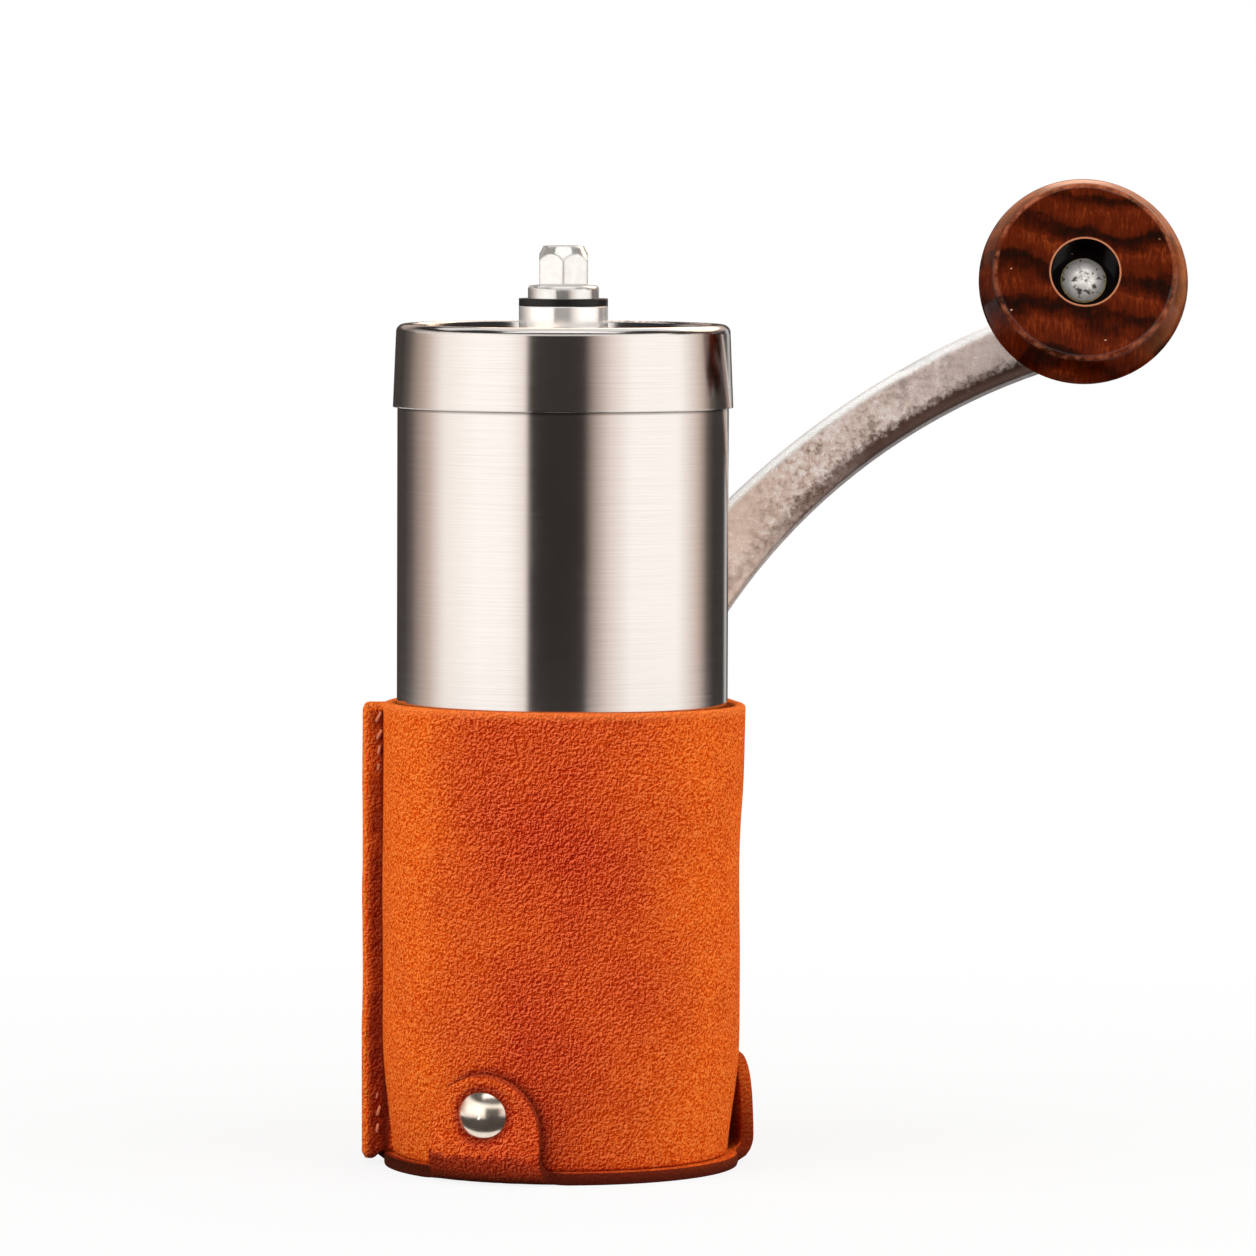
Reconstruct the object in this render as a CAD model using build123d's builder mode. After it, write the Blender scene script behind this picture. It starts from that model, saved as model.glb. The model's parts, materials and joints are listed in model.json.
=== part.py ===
from build123d import *
import os
from math import acos, atan2, cos, pi, radians, sin, sqrt, tan

# Hand crank coffee grinder: a steel hopper and cup with a conical burr mill between them,
# in a riveted leather sleeve, with the crank stowed behind the body.
# Millimetres, +Z up, front at -Y, origin at the centre of the leather base's underside.

# Steel body: tube, cup and cap
BODY_D = 48.0  # outside of the tube and of the cup
SHEET = 0.8  # wall of the tube and of the cup
CUP_H = 48.2  # cup, floor to mouth
CUP_FOOT_H = 14.2  # height over which the cup draws in towards its floor
CUP_FOOT_TAPER = 1.9  # how far it draws in, on the radius
CUP_FOOT_ROUND = 2.5  # outer round at the cup's floor
TUBE_H = 68.8  # hopper tube, carrier flange to mouth
MOUTH_TAPER = 0.4  # how far the tube's mouth draws in under the cap
CAP_H = 12.0  # cap, lower edge to rim
CAP_SHEET = 0.55  # wall of the cap
CAP_FIT = 0.1  # clearance between cap and tube
CAP_ROUND = 1.2  # round of the cap's top edge
CAP_RIM_ROUND = 0.4  # round inside the raised rim
CAP_RIM_W = 1.9  # width of the raised rim
CAP_DISH = 1.6  # depth of the dished top below the rim
CAP_DISH_SLOPE = 0.7  # how far the rim's inner side leans in
NECK_D = 12.9  # outside of the cap's neck
NECK_RISE = 2.6  # neck above the rim
NECK_FILLET = 1.2  # round between neck and dish
CAP_BUSH_WALL = 0.5  # wall of the black bush in the neck
CAP_BUSH_FLANGE = 1.1  # thickness of its flange, the black ring

# Drive: head, shaft and what sits on it
HEX_AF = 7.0  # hexagon head, across flats
HEX_H = 5.7  # hexagon head, height
HEX_CHAMFER_H = 2.2  # height of the cone that trims its top corners
HEX_TOP_D = 5.8  # flat left on its top
JOURNAL_D = 10.3  # round part of the head that runs in the cap's bush
JOURNAL_RISE = 1.9  # journal that shows above the bush
JOURNAL_BELOW = 2.5  # journal below the cap's bush
JOURNAL_ROUND = 0.6  # round of the journal's shoulder
SHAFT_D = 6.0  # shaft
SHAFT_IN_HEAD = 7.0  # depth of the shaft in the head
SHAFT_FLAT = 4.8  # across the two flats of its lower end
RUN_FIT = 0.05  # radial clearance of bushes and keyed bores
CLIP_T = 0.9  # shaft clip, thickness
CLIP_D = 11.0  # shaft clip, outside
CLIP_GROOVE = 0.4  # depth of its groove in the shaft
CLIP_OPEN = 70.0  # open angle of the clip, degrees

# Mill: carrier, burrs, spring and adjuster
FLANGE_T = 1.2  # carrier flange between tube and cup
PLUG_H = 11.0  # carrier inside the tube
PLUG_FIT = 0.05  # clearance of the carrier in the tube
SPIGOT_H = 9.0  # carrier inside the cup
SPIGOT_FIT = 0.1  # clearance of the cup on the carrier
CARRIER_WALL = 1.6  # walls of the moulded carrier
CARRIER_RIBS = 6  # ribs between its two lower walls
SPOKES = 3  # spokes to its hub
SPOKE_W = 3.0  # width of a spoke
SPOKE_H = 5.0  # height of a spoke
HUB_D = 13.0  # hub of the carrier
HUB_H = 7.0  # height of the hub
BUSH_WALL = 1.5  # wall of the shaft's bush in the hub
BUSH_FLANGE_T = 1.0  # flange of that bush
BUSH_FLANGE_D = 12.0  # outside of that flange
BURR_D = 36.0  # outer burr, outside
BURR_H = 13.0  # outer burr, height
BURR_RISE = 3.0  # top of the outer burr above the cup's mouth
BURR_THROAT_D = 24.0  # narrowest point of the outer burr
BURR_THROAT_H = 6.5  # height of that point above its underside
BURR_FOOT_D = 29.2  # outer burr's opening at its underside
BURR_MOUTH_D = 28.0  # outer burr's opening at its top
BURR_GAP = 0.55  # gap between the two burrs at rest, on the radius
BURR_NOSE_D = 16.4  # inner burr, across its top
BURR_NOSE_RISE = 1.0  # inner burr's top above the outer burr's
BURR_BORE_D = 10.4  # bore of the inner burr
COARSE_TEETH = 8  # breaking teeth, upper half
FINE_TEETH = 32  # grinding teeth, lower half
COARSE_DEPTH = 1.6
FINE_DEPTH = 0.6
TOOTH_STEEP = 0.15  # share of a tooth's width on its steep side
COARSE_TWIST = 34.0  # turn of a breaking tooth over its height, degrees
FINE_TWIST = 14.0  # turn of a grinding tooth over its height, degrees
RETAINER_H = 2.5  # ring below the outer burr
RETAINER_WALL = 2.4  # radial width of that ring
RETAINER_NOTCHES = 4  # notches for turning it
DRIVER_H = 6.0  # driver inside the inner burr's bore
DRIVER_FLANGE_D = 19.0  # driver's flange below the inner burr
DRIVER_FLANGE_T = 1.4
DRIVER_LUGS = 3  # lugs that key the driver to the inner burr
LUG_W = 2.6
LUG_H = 1.8
CLICK_T = 0.8  # notched washer below the driver
CLICK_D = 17.0
CLICK_NOTCHES = 12
NUT_H = 7.5  # adjuster nut
NUT_D = 19.0
NUT_LOBES = 6
NUT_SCALLOP_D = 5.0  # scallops between the lobes
NUT_SCALLOP_DEPTH = 1.5
NUT_CHAMFER = 0.5
SHAFT_PAST_NUT = 1.2  # shaft end below the nut
WASHER_T = 0.6  # washer on top of the spring
WIRE_D = 0.9  # spring wire
SPRING_TURNS = 3.5
BURR_LIFT = 0.9  # how far the inner burr rises to its finest setting
NOSE_ROOM = 0.5  # room left above it and its driver there

# Leather sleeve
LEATHER = 1.6  # wall
BASE_LEATHER = 1.8  # base disc and its ears
SLEEVE_H = 65.7  # wall, on top of the base disc
SLEEVE_GAP = 0.4  # clearance round the body
BASE_D = 51.4  # base disc
FIN_REACH = 29.1  # outer edge of the sewn fin, from the axis
FIN_SLIT = 0.2  # slit between the fin's two layers
FIN_FOOT = 0.6  # fin's lower end above the base disc
EAR_AZIMUTHS = (-24.0, 113.0, 245.0)  # ears, counterclockwise from the front, degrees
EAR_W = 17.2  # ear, across
EAR_H = 15.6  # ear, top above the ground
EAR_FLARE = 4.0  # round at each side of an ear's foot
EAR_BULGE = 2.1  # how far the ear's foot stands off the wall's foot
EAR_SEAT = 0.05  # clearance of ear and wall at the rivet
EAR_PINCH = 1.8  # ear meets the wall this far below the rivet's centre
RIVET_Z = 9.9  # rivets above the ground
RIVET_D = 7.4  # domed cap
RIVET_DOME = 1.5  # height of the dome
RIVET_RIM = 0.5  # straight rim below the dome
RIVET_SINK = 0.3  # cap pressed into the ear
POST_D = 3.0  # rivet post
POST_HEAD_D = 5.5  # flat head inside the wall
POST_HEAD_T = 0.4

# Crank, stowed between the sleeve and the back of the body
CRANK_LEAN = 16.0  # the crank leans back, degrees
CRANK_GAP = 0.4  # clearance between the hub and the body
ARM_T = 5.2  # thickness of the arm
ARM_ROUND = 1.3  # round of its edges
CRANK_HUB_D = 16.4
CRANK_HUB_X = 3.4  # hub, right of the body's axis
CRANK_HUB_Z = 50.5  # hub above the ground
CRANK_REACH = 103.1  # hub to knob
CRANK_ANGLE = 44.9  # direction from hub to knob, in the crank's plane, degrees
CRANK_EYE_D = 9.6  # rounded end of the arm under the knob
ARM_OUTER_R = 131.7  # radius of the arm's outer edge
ARM_INNER_R = 93.5  # radius of its inner edge
SOCKET_FIT = 0.08  # clearance of the crank's socket round the hexagon head
POCKET_GAP = 0.8  # clearance between crank and sleeve
POCKET_CORNER = 3.0  # inner round of the pocket's corners

# Knob
KNOB_D = 31.6
KNOB_FACE_D = 26.8
KNOB_FOOT_D = 18.0
KNOB_L = 30.0
KNOB_SHOULDER = 5.0  # widest ring, behind the face
KNOB_SHOULDER_ROUND = 6.0
KNOB_FACE_ROUND = 1.2
KNOB_FOOT_ROUND = 1.5
KNOB_SINK_D = 10.0  # counterbore in the face
KNOB_SINK = 5.0
PIN_D = 5.0
PIN_TAIL_D = 4.0  # pin inside the arm
PIN_HEAD_D = 6.4
PIN_HEAD_RIM = 0.4
PIN_HEAD_DOME = 1.2
PIN_FIT = 0.05  # clearance of the pin's tail in the arm
KNOB_LINER = 0.8  # wall of the knob's bush
KNOB_WASHER_T = 0.8
KNOB_WASHER_D = 11.0

# Heights and radii that follow from the sizes above
body_r = BODY_D / 2
tube_in_r = body_r - SHEET
cup_floor = BASE_LEATHER
cup_mouth = cup_floor + CUP_H
foot_r = body_r - CUP_FOOT_TAPER
foot_top = cup_floor + CUP_FOOT_H
tube_foot = cup_mouth + FLANGE_T
tube_mouth = tube_foot + TUBE_H
cap_under = tube_mouth
cap_dish = cap_under + CAP_SHEET
cap_top = cap_dish + CAP_DISH
cap_foot = cap_top - CAP_H
mouth_slope = MOUTH_TAPER / (tube_mouth - cap_foot)
cap_r = body_r + CAP_FIT + CAP_SHEET
cap_top_r = cap_r - mouth_slope * CAP_H
neck_top = cap_top + NECK_RISE
journal_r = JOURNAL_D / 2
cap_bush_r = journal_r + RUN_FIT + CAP_BUSH_WALL
journal_top = neck_top + CAP_BUSH_FLANGE + JOURNAL_RISE
head_foot = cap_under - JOURNAL_BELOW
head_top = journal_top + HEX_H
shaft_r = SHAFT_D / 2
shaft_top = head_foot + SHAFT_IN_HEAD

plug_r = tube_in_r - PLUG_FIT
spigot_r = tube_in_r - SPIGOT_FIT
plug_top = tube_foot + PLUG_H
burr_top = cup_mouth + BURR_RISE
burr_foot = burr_top - BURR_H
burr_throat = burr_foot + BURR_THROAT_H
pocket_r = BURR_D / 2 + RUN_FIT
retainer_foot = burr_foot - RETAINER_H
spigot_foot = cup_mouth - SPIGOT_H
nose_top = burr_top + BURR_NOSE_RISE
hub_foot = nose_top + BURR_LIFT + NOSE_ROOM + WASHER_T
hub_top = hub_foot + HUB_H
bush_r = shaft_r + RUN_FIT + BUSH_WALL
clip_foot = hub_top + BUSH_FLANGE_T
driver_foot = burr_foot - DRIVER_FLANGE_T
driver_top = burr_foot + DRIVER_H
flats_top = driver_top + BURR_LIFT + NOSE_ROOM
click_foot = driver_foot - CLICK_T
nut_foot = click_foot - NUT_H
shaft_foot = nut_foot - SHAFT_PAST_NUT
bore_r = BURR_BORE_D / 2
throat_r = BURR_THROAT_D / 2
mouth_r = BURR_MOUTH_D / 2

sleeve_top = BASE_LEATHER + SLEEVE_H
sleeve_r = body_r + SLEEVE_GAP
sleeve_foot_r = foot_r + SLEEVE_GAP
wall_slope = (sleeve_r - sleeve_foot_r) / (foot_top - BASE_LEATHER)


def wall_out(height):
    """Outside radius of the leather wall, below the top of its drawn-in foot."""
    return sleeve_foot_r + LEATHER + wall_slope * (height - BASE_LEATHER)


lean = radians(CRANK_LEAN)
crank_up = Vector(0, sin(lean), cos(lean))
crank_out = Vector(0, -cos(lean), sin(lean))
hub_r = CRANK_HUB_D / 2
crank_hub_y = body_r + CRANK_GAP + hub_r * sin(lean) + ARM_T / 2 * cos(lean)
crank_hub = Vector(CRANK_HUB_X, crank_hub_y, CRANK_HUB_Z)
crank_plane = Plane(origin=crank_hub, x_dir=(1, 0, 0), z_dir=crank_out)
eye_x = CRANK_REACH * cos(radians(CRANK_ANGLE))
eye_y = CRANK_REACH * sin(radians(CRANK_ANGLE))
eye_r = CRANK_EYE_D / 2
knob_plane = Plane(
    origin=crank_hub + Vector(eye_x, 0, 0) + crank_up * eye_y + crank_out * (ARM_T / 2),
    x_dir=(1, 0, 0),
    z_dir=crank_out,
)
knob_foot = KNOB_WASHER_T
knob_face = knob_foot + KNOB_L
sink_floor = knob_face - KNOB_SINK
pin_r = PIN_D / 2
liner_in_r = pin_r + RUN_FIT
liner_out_r = liner_in_r + KNOB_LINER


def arm_arc_centre(from_hub, from_eye):
    """Point below the line from hub to eye, at given distances from the two."""
    along = (from_hub**2 - from_eye**2 + CRANK_REACH**2) / (2 * CRANK_REACH)
    aside = sqrt(from_hub**2 - along**2)
    turn = radians(CRANK_ANGLE)
    return Vector(along * cos(turn) + aside * sin(turn), along * sin(turn) - aside * cos(turn))


# Ends and middles of the arcs that bound the crank arm, in the crank's plane
hub_at = Vector(0, 0)
eye_at = Vector(eye_x, eye_y)
outer_at = arm_arc_centre(ARM_OUTER_R - hub_r, ARM_OUTER_R - eye_r)
inner_at = arm_arc_centre(ARM_INNER_R + hub_r, ARM_INNER_R + eye_r)
outer_hub = outer_at + (hub_at - outer_at).normalized() * ARM_OUTER_R
outer_eye = outer_at + (eye_at - outer_at).normalized() * ARM_OUTER_R
outer_mid = outer_at + ((outer_hub + outer_eye) / 2 - outer_at).normalized() * ARM_OUTER_R
inner_hub = inner_at + (hub_at - inner_at).normalized() * ARM_INNER_R
inner_eye = inner_at + (eye_at - inner_at).normalized() * ARM_INNER_R
inner_mid = inner_at + ((inner_hub + inner_eye) / 2 - inner_at).normalized() * ARM_INNER_R
eye_end = eye_at + (outer_eye - outer_hub).normalized() * eye_r
hub_end = hub_at - (outer_mid - outer_hub).normalized() * hub_r

os.makedirs("parts", exist_ok=True)


def save(builder, name):
    """Label a finished piece and write it to its own file."""
    builder.part.label = name
    export_step(builder.part, f"parts/{name}.step")


def round_corner(sketch, point, radius):
    """Round the corner of a profile that lies nearest to a point."""
    fillet(sketch.vertices().sort_by_distance(Vector(*point))[0], radius)


# Grounds cup: drawn steel, its foot drawn in
with BuildPart() as grounds_cup:
    with BuildSketch(Plane.XZ) as cup_profile:
        with BuildLine():
            Polyline(
                (0, cup_floor),
                (foot_r, cup_floor),
                (body_r, foot_top),
                (body_r, cup_mouth),
                (tube_in_r, cup_mouth),
                (tube_in_r, foot_top),
                (foot_r - SHEET, cup_floor + SHEET),
                (0, cup_floor + SHEET),
                close=True,
            )
        make_face()
        round_corner(cup_profile, (foot_r, cup_floor), CUP_FOOT_ROUND)
        round_corner(cup_profile, (foot_r - SHEET, cup_floor + SHEET), CUP_FOOT_ROUND - SHEET)
    revolve(axis=Axis.Z)
save(grounds_cup, "grounds_cup")

# Hopper tube, its mouth drawn in to take the cap
with BuildPart() as hopper_tube:
    with BuildSketch(Plane.XZ):
        with BuildLine():
            Polyline(
                (tube_in_r, tube_foot),
                (body_r, tube_foot),
                (body_r, cap_foot),
                (body_r - MOUTH_TAPER, tube_mouth),
                (tube_in_r - MOUTH_TAPER, tube_mouth),
                (tube_in_r, cap_foot),
                close=True,
            )
        make_face()
    revolve(axis=Axis.Z)
save(hopper_tube, "hopper_tube")

# Cap: skirt, raised rim, dished top and neck in one drawing
neck_r = NECK_D / 2
rim_in_r = cap_top_r - CAP_RIM_W
with BuildPart() as cap:
    with BuildSketch(Plane.XZ) as cap_profile:
        with BuildLine():
            Polyline(
                (cap_r - CAP_SHEET, cap_foot),
                (cap_r, cap_foot),
                (cap_top_r, cap_top),
                (rim_in_r, cap_top),
                (rim_in_r - CAP_DISH_SLOPE, cap_dish),
                (neck_r, cap_dish),
                (neck_r, neck_top),
                (cap_bush_r, neck_top),
                (cap_bush_r, cap_under),
                (body_r - MOUTH_TAPER + CAP_FIT, cap_under),
                close=True,
            )
        make_face()
        round_corner(cap_profile, (cap_top_r, cap_top), CAP_ROUND)
        round_corner(cap_profile, (rim_in_r, cap_top), CAP_RIM_ROUND)
        round_corner(cap_profile, (neck_r, cap_dish), NECK_FILLET)
    revolve(axis=Axis.Z)
save(cap, "cap")

# Black bush in the cap's neck, with the flange that shows as a ring
with BuildPart() as cap_bush:
    with BuildSketch(Plane.XZ):
        with BuildLine():
            Polyline(
                (journal_r + RUN_FIT, cap_under),
                (cap_bush_r, cap_under),
                (cap_bush_r, neck_top),
                (neck_r, neck_top),
                (neck_r, neck_top + CAP_BUSH_FLANGE),
                (journal_r + RUN_FIT, neck_top + CAP_BUSH_FLANGE),
                close=True,
            )
        make_face()
    revolve(axis=Axis.Z)
save(cap_bush, "cap_bush")

# Drive head: journal below, hexagon above with its corners trimmed by a cone
hex_corner_r = HEX_AF / 2 / cos(radians(30))
with BuildPart() as drive_head:
    with BuildSketch(Plane.XY.offset(journal_top)):
        RegularPolygon(radius=HEX_AF / 2, side_count=6, major_radius=False, rotation=30)
    extrude(amount=HEX_H)
    with BuildSketch(Plane.XZ):
        with BuildLine():
            Polyline(
                (0, journal_top),
                (hex_corner_r, journal_top),
                (hex_corner_r, head_top - HEX_CHAMFER_H),
                (HEX_TOP_D / 2, head_top),
                (0, head_top),
                close=True,
            )
        make_face()
    revolve(axis=Axis.Z, mode=Mode.INTERSECT)
    with BuildSketch(Plane.XZ) as journal_profile:
        with BuildLine():
            Polyline(
                (0, head_foot),
                (journal_r, head_foot),
                (journal_r, journal_top),
                (0, journal_top),
                close=True,
            )
        make_face()
        round_corner(journal_profile, (journal_r, journal_top), JOURNAL_ROUND)
    revolve(axis=Axis.Z)
    with BuildSketch(Plane.XY.offset(head_foot)):
        Circle(shaft_r + RUN_FIT)
    extrude(amount=SHAFT_IN_HEAD, mode=Mode.SUBTRACT)
save(drive_head, "drive_head")

# Shaft: round, with a groove for its clip and two flats on its lower end
with BuildPart() as drive_shaft:
    with BuildSketch(Plane.XY.offset(shaft_foot)):
        Circle(shaft_r)
    extrude(amount=shaft_top - shaft_foot)
    with BuildSketch(Plane.XY.offset(shaft_foot)):
        Rectangle(SHAFT_D * 2, SHAFT_D * 2)
        Rectangle(SHAFT_D * 2, SHAFT_FLAT, mode=Mode.SUBTRACT)
    extrude(amount=flats_top - shaft_foot, mode=Mode.SUBTRACT)
    with BuildSketch(Plane.XY.offset(clip_foot)):
        Circle(SHAFT_D)
        Circle(shaft_r - CLIP_GROOVE, mode=Mode.SUBTRACT)
    extrude(amount=CLIP_T + RUN_FIT, mode=Mode.SUBTRACT)
save(drive_shaft, "drive_shaft")

# Clip in the shaft's groove, open at one side
with BuildPart() as shaft_clip:
    with BuildSketch(Plane.XY.offset(clip_foot)):
        Circle(CLIP_D / 2)
        Circle(shaft_r - CLIP_GROOVE + RUN_FIT, mode=Mode.SUBTRACT)
        with BuildLine():
            Polyline(
                (0, 0),
                (CLIP_D, -CLIP_D * tan(radians(CLIP_OPEN / 2))),
                (CLIP_D, CLIP_D * tan(radians(CLIP_OPEN / 2))),
                close=True,
            )
        make_face(mode=Mode.SUBTRACT)
    extrude(amount=CLIP_T)
save(shaft_clip, "shaft_clip")

# Burr carrier: plug, flange and spigot outside, funnel and burr pocket inside, ribs between
carrier_floor_top = burr_top + CARRIER_WALL
funnel_r = plug_r - CARRIER_WALL
groove_in_r = pocket_r + CARRIER_WALL
groove_out_r = spigot_r - CARRIER_WALL
groove_top = cup_mouth - CARRIER_WALL
with BuildPart() as burr_carrier:
    with BuildSketch(Plane.XZ):
        with BuildLine():
            Polyline(
                (spigot_r, spigot_foot),
                (spigot_r, cup_mouth),
                (body_r, cup_mouth),
                (body_r, tube_foot),
                (plug_r, tube_foot),
                (plug_r, plug_top),
                (funnel_r, plug_top),
                (mouth_r, carrier_floor_top),
                (mouth_r, burr_top),
                (pocket_r, burr_top),
                (pocket_r, retainer_foot),
                (groove_in_r, retainer_foot),
                (groove_in_r, groove_top),
                (groove_out_r, groove_top),
                (groove_out_r, spigot_foot),
                close=True,
            )
        make_face()
    revolve(axis=Axis.Z)
    with BuildSketch(Plane.XY.offset(spigot_foot)):
        with PolarLocations((groove_in_r + groove_out_r) / 2, CARRIER_RIBS):
            Rectangle(groove_out_r - groove_in_r + CARRIER_WALL, CARRIER_WALL)
    extrude(amount=groove_top - spigot_foot)
    with BuildSketch(Plane.XY.offset(hub_foot)):
        Circle(HUB_D / 2)
    extrude(amount=HUB_H)
    with BuildSketch(Plane.XY.offset(hub_foot)):
        with PolarLocations(plug_r / 2, SPOKES):
            Rectangle(plug_r - CARRIER_WALL / 2, SPOKE_W)
    extrude(amount=SPOKE_H)
    with BuildSketch(Plane.XY.offset(hub_foot)):
        Circle(bush_r + RUN_FIT)
    extrude(amount=HUB_H, mode=Mode.SUBTRACT)
save(burr_carrier, "burr_carrier")

# Bush in the carrier's hub, its flange under the shaft's clip
with BuildPart() as carrier_bush:
    with BuildSketch(Plane.XY.offset(hub_foot)):
        Circle(bush_r)
        Circle(shaft_r + RUN_FIT, mode=Mode.SUBTRACT)
    extrude(amount=HUB_H)
    with BuildSketch(Plane.XY.offset(hub_top)):
        Circle(BUSH_FLANGE_D / 2)
        Circle(shaft_r + RUN_FIT, mode=Mode.SUBTRACT)
    extrude(amount=BUSH_FLANGE_T)
save(carrier_bush, "carrier_bush")


def tooth_section(height, crest_r, root_r, teeth, turn):
    """Ring of saw teeth at a height, turned by an angle in degrees."""
    points = []
    for tooth in range(teeth):
        for radius, share in ((crest_r, 0.0), (root_r, TOOTH_STEEP)):
            angle = radians(turn + 360 / teeth * (tooth + share))
            points.append((radius * cos(angle), radius * sin(angle)))
    with BuildSketch(Plane.XY.offset(height)) as section:
        with BuildLine():
            Polyline(*points, close=True)
        make_face()
    return section.sketch


# Outer burr: ring with slanted teeth, coarse above its throat and fine below
with BuildPart() as outer_burr:
    with BuildSketch(Plane.XY.offset(burr_foot)):
        Circle(BURR_D / 2)
    extrude(amount=BURR_H)
    fine_sections = [
        tooth_section(burr_foot, BURR_FOOT_D / 2, BURR_FOOT_D / 2 + FINE_DEPTH, FINE_TEETH, 0),
        tooth_section(burr_throat, throat_r, throat_r + FINE_DEPTH, FINE_TEETH, FINE_TWIST / 2),
    ]
    loft(fine_sections, ruled=True, mode=Mode.SUBTRACT)
    coarse_sections = [
        tooth_section(burr_throat, throat_r, throat_r + COARSE_DEPTH, COARSE_TEETH, 0),
        tooth_section(burr_top, mouth_r, mouth_r + COARSE_DEPTH, COARSE_TEETH, COARSE_TWIST / 2),
    ]
    loft(coarse_sections, ruled=True, mode=Mode.SUBTRACT)
save(outer_burr, "outer_burr")

# Retainer: ring below the outer burr, with notches for turning it home
with BuildPart() as burr_retainer:
    with BuildSketch(Plane.XY.offset(retainer_foot)):
        Circle(pocket_r - RUN_FIT)
        Circle(pocket_r - RETAINER_WALL, mode=Mode.SUBTRACT)
    extrude(amount=RETAINER_H)
    with BuildSketch(Plane.XY.offset(retainer_foot)):
        with PolarLocations(pocket_r - RETAINER_WALL, RETAINER_NOTCHES):
            Rectangle(RETAINER_WALL, RETAINER_WALL)
    extrude(amount=RETAINER_H / 2, mode=Mode.SUBTRACT)
save(burr_retainer, "burr_retainer")

# Inner burr: toothed cone with a bore, keyed to its driver from below
foot_crest_r = BURR_FOOT_D / 2 - BURR_GAP
throat_crest_r = throat_r - BURR_GAP
nose_r = BURR_NOSE_D / 2
lug_len = DRIVER_FLANGE_D / 2 - bore_r
with BuildPart() as inner_burr:
    fine_sections = [
        tooth_section(burr_foot, foot_crest_r, foot_crest_r - FINE_DEPTH, FINE_TEETH, 0),
        tooth_section(burr_throat, throat_crest_r, throat_crest_r - FINE_DEPTH, FINE_TEETH, -FINE_TWIST),
    ]
    loft(fine_sections, ruled=True)
    coarse_sections = [
        tooth_section(burr_throat, throat_crest_r, throat_crest_r - COARSE_DEPTH, COARSE_TEETH, 0),
        tooth_section(nose_top, nose_r, nose_r - COARSE_DEPTH, COARSE_TEETH, -COARSE_TWIST),
    ]
    loft(coarse_sections, ruled=True)
    with BuildSketch(Plane.XY.offset(burr_foot)):
        Circle(bore_r)
    extrude(amount=nose_top - burr_foot, mode=Mode.SUBTRACT)
    with BuildSketch(Plane.XY.offset(burr_foot)):
        with PolarLocations(bore_r + lug_len / 2, DRIVER_LUGS):
            Rectangle(lug_len + 2 * RUN_FIT, LUG_W + 2 * RUN_FIT)
    extrude(amount=LUG_H + RUN_FIT, mode=Mode.SUBTRACT)
save(inner_burr, "inner_burr")


def shaft_bore(height):
    """Section of a bore that slides on the shaft's two flats."""
    with BuildSketch(Plane.XY.offset(height)) as section:
        Circle(shaft_r + RUN_FIT)
        Rectangle(SHAFT_D * 2, SHAFT_FLAT + 2 * RUN_FIT, mode=Mode.INTERSECT)
    return section.sketch


# Driver: slides on the shaft's flats and carries the inner burr on its flange
with BuildPart() as burr_driver:
    with BuildSketch(Plane.XY.offset(driver_foot)):
        Circle(DRIVER_FLANGE_D / 2)
    extrude(amount=DRIVER_FLANGE_T)
    with BuildSketch(Plane.XY.offset(burr_foot)):
        Circle(bore_r - RUN_FIT)
    extrude(amount=DRIVER_H)
    with BuildSketch(Plane.XY.offset(burr_foot)):
        with PolarLocations(bore_r + (lug_len - LUG_W / 2) / 2, DRIVER_LUGS):
            Rectangle(lug_len - LUG_W / 2, LUG_W)
    extrude(amount=LUG_H)
    extrude(shaft_bore(driver_foot), amount=driver_top - driver_foot, mode=Mode.SUBTRACT)
save(burr_driver, "burr_driver")

# Notched washer, keyed to the same flats
with BuildPart() as click_washer:
    with BuildSketch(Plane.XY.offset(click_foot)):
        Circle(CLICK_D / 2)
        with PolarLocations(CLICK_D / 2, CLICK_NOTCHES):
            Circle(CLICK_T, mode=Mode.SUBTRACT)
    extrude(amount=CLICK_T)
    extrude(shaft_bore(click_foot), amount=CLICK_T, mode=Mode.SUBTRACT)
save(click_washer, "click_washer")

# Adjuster nut: star grip on the shaft's threaded end
with BuildPart() as adjuster_nut:
    with BuildSketch(Plane.XY.offset(nut_foot)):
        Circle(NUT_D / 2)
        with PolarLocations(NUT_D / 2 - NUT_SCALLOP_DEPTH + NUT_SCALLOP_D / 2, NUT_LOBES):
            Circle(NUT_SCALLOP_D / 2, mode=Mode.SUBTRACT)
        Circle(shaft_r + RUN_FIT, mode=Mode.SUBTRACT)
    extrude(amount=NUT_H)
    chamfer(adjuster_nut.faces().sort_by(Axis.Z)[0].outer_wire().edges(), NUT_CHAMFER)
save(adjuster_nut, "adjuster_nut")

# Washer on the spring, under the carrier's bush
washer_foot = hub_foot - WASHER_T
with BuildPart() as spring_washer:
    with BuildSketch(Plane.XY.offset(washer_foot)):
        Circle(bush_r)
        Circle(shaft_r + RUN_FIT, mode=Mode.SUBTRACT)
    extrude(amount=WASHER_T)
save(spring_washer, "spring_washer")

# Spring: one wire wound from the driver up to the washer
wire_r = WIRE_D / 2
coil_r = (shaft_r + bore_r) / 2
coil_foot = driver_top + wire_r
coil_top = washer_foot - wire_r
coil_pitch = (coil_top - coil_foot) / SPRING_TURNS
quarter_turns = int(SPRING_TURNS * 4)


def coil_point(turns):
    """Point on the spring's centre line after a number of turns."""
    angle = 2 * pi * turns
    return Vector(coil_r * cos(angle), coil_r * sin(angle), coil_foot + coil_pitch * turns)


def coil_direction(turns):
    """Direction of the spring's centre line after a number of turns."""
    angle = 2 * pi * turns
    return Vector(-sin(angle), cos(angle), coil_pitch / (2 * pi * coil_r)).normalized()


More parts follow.
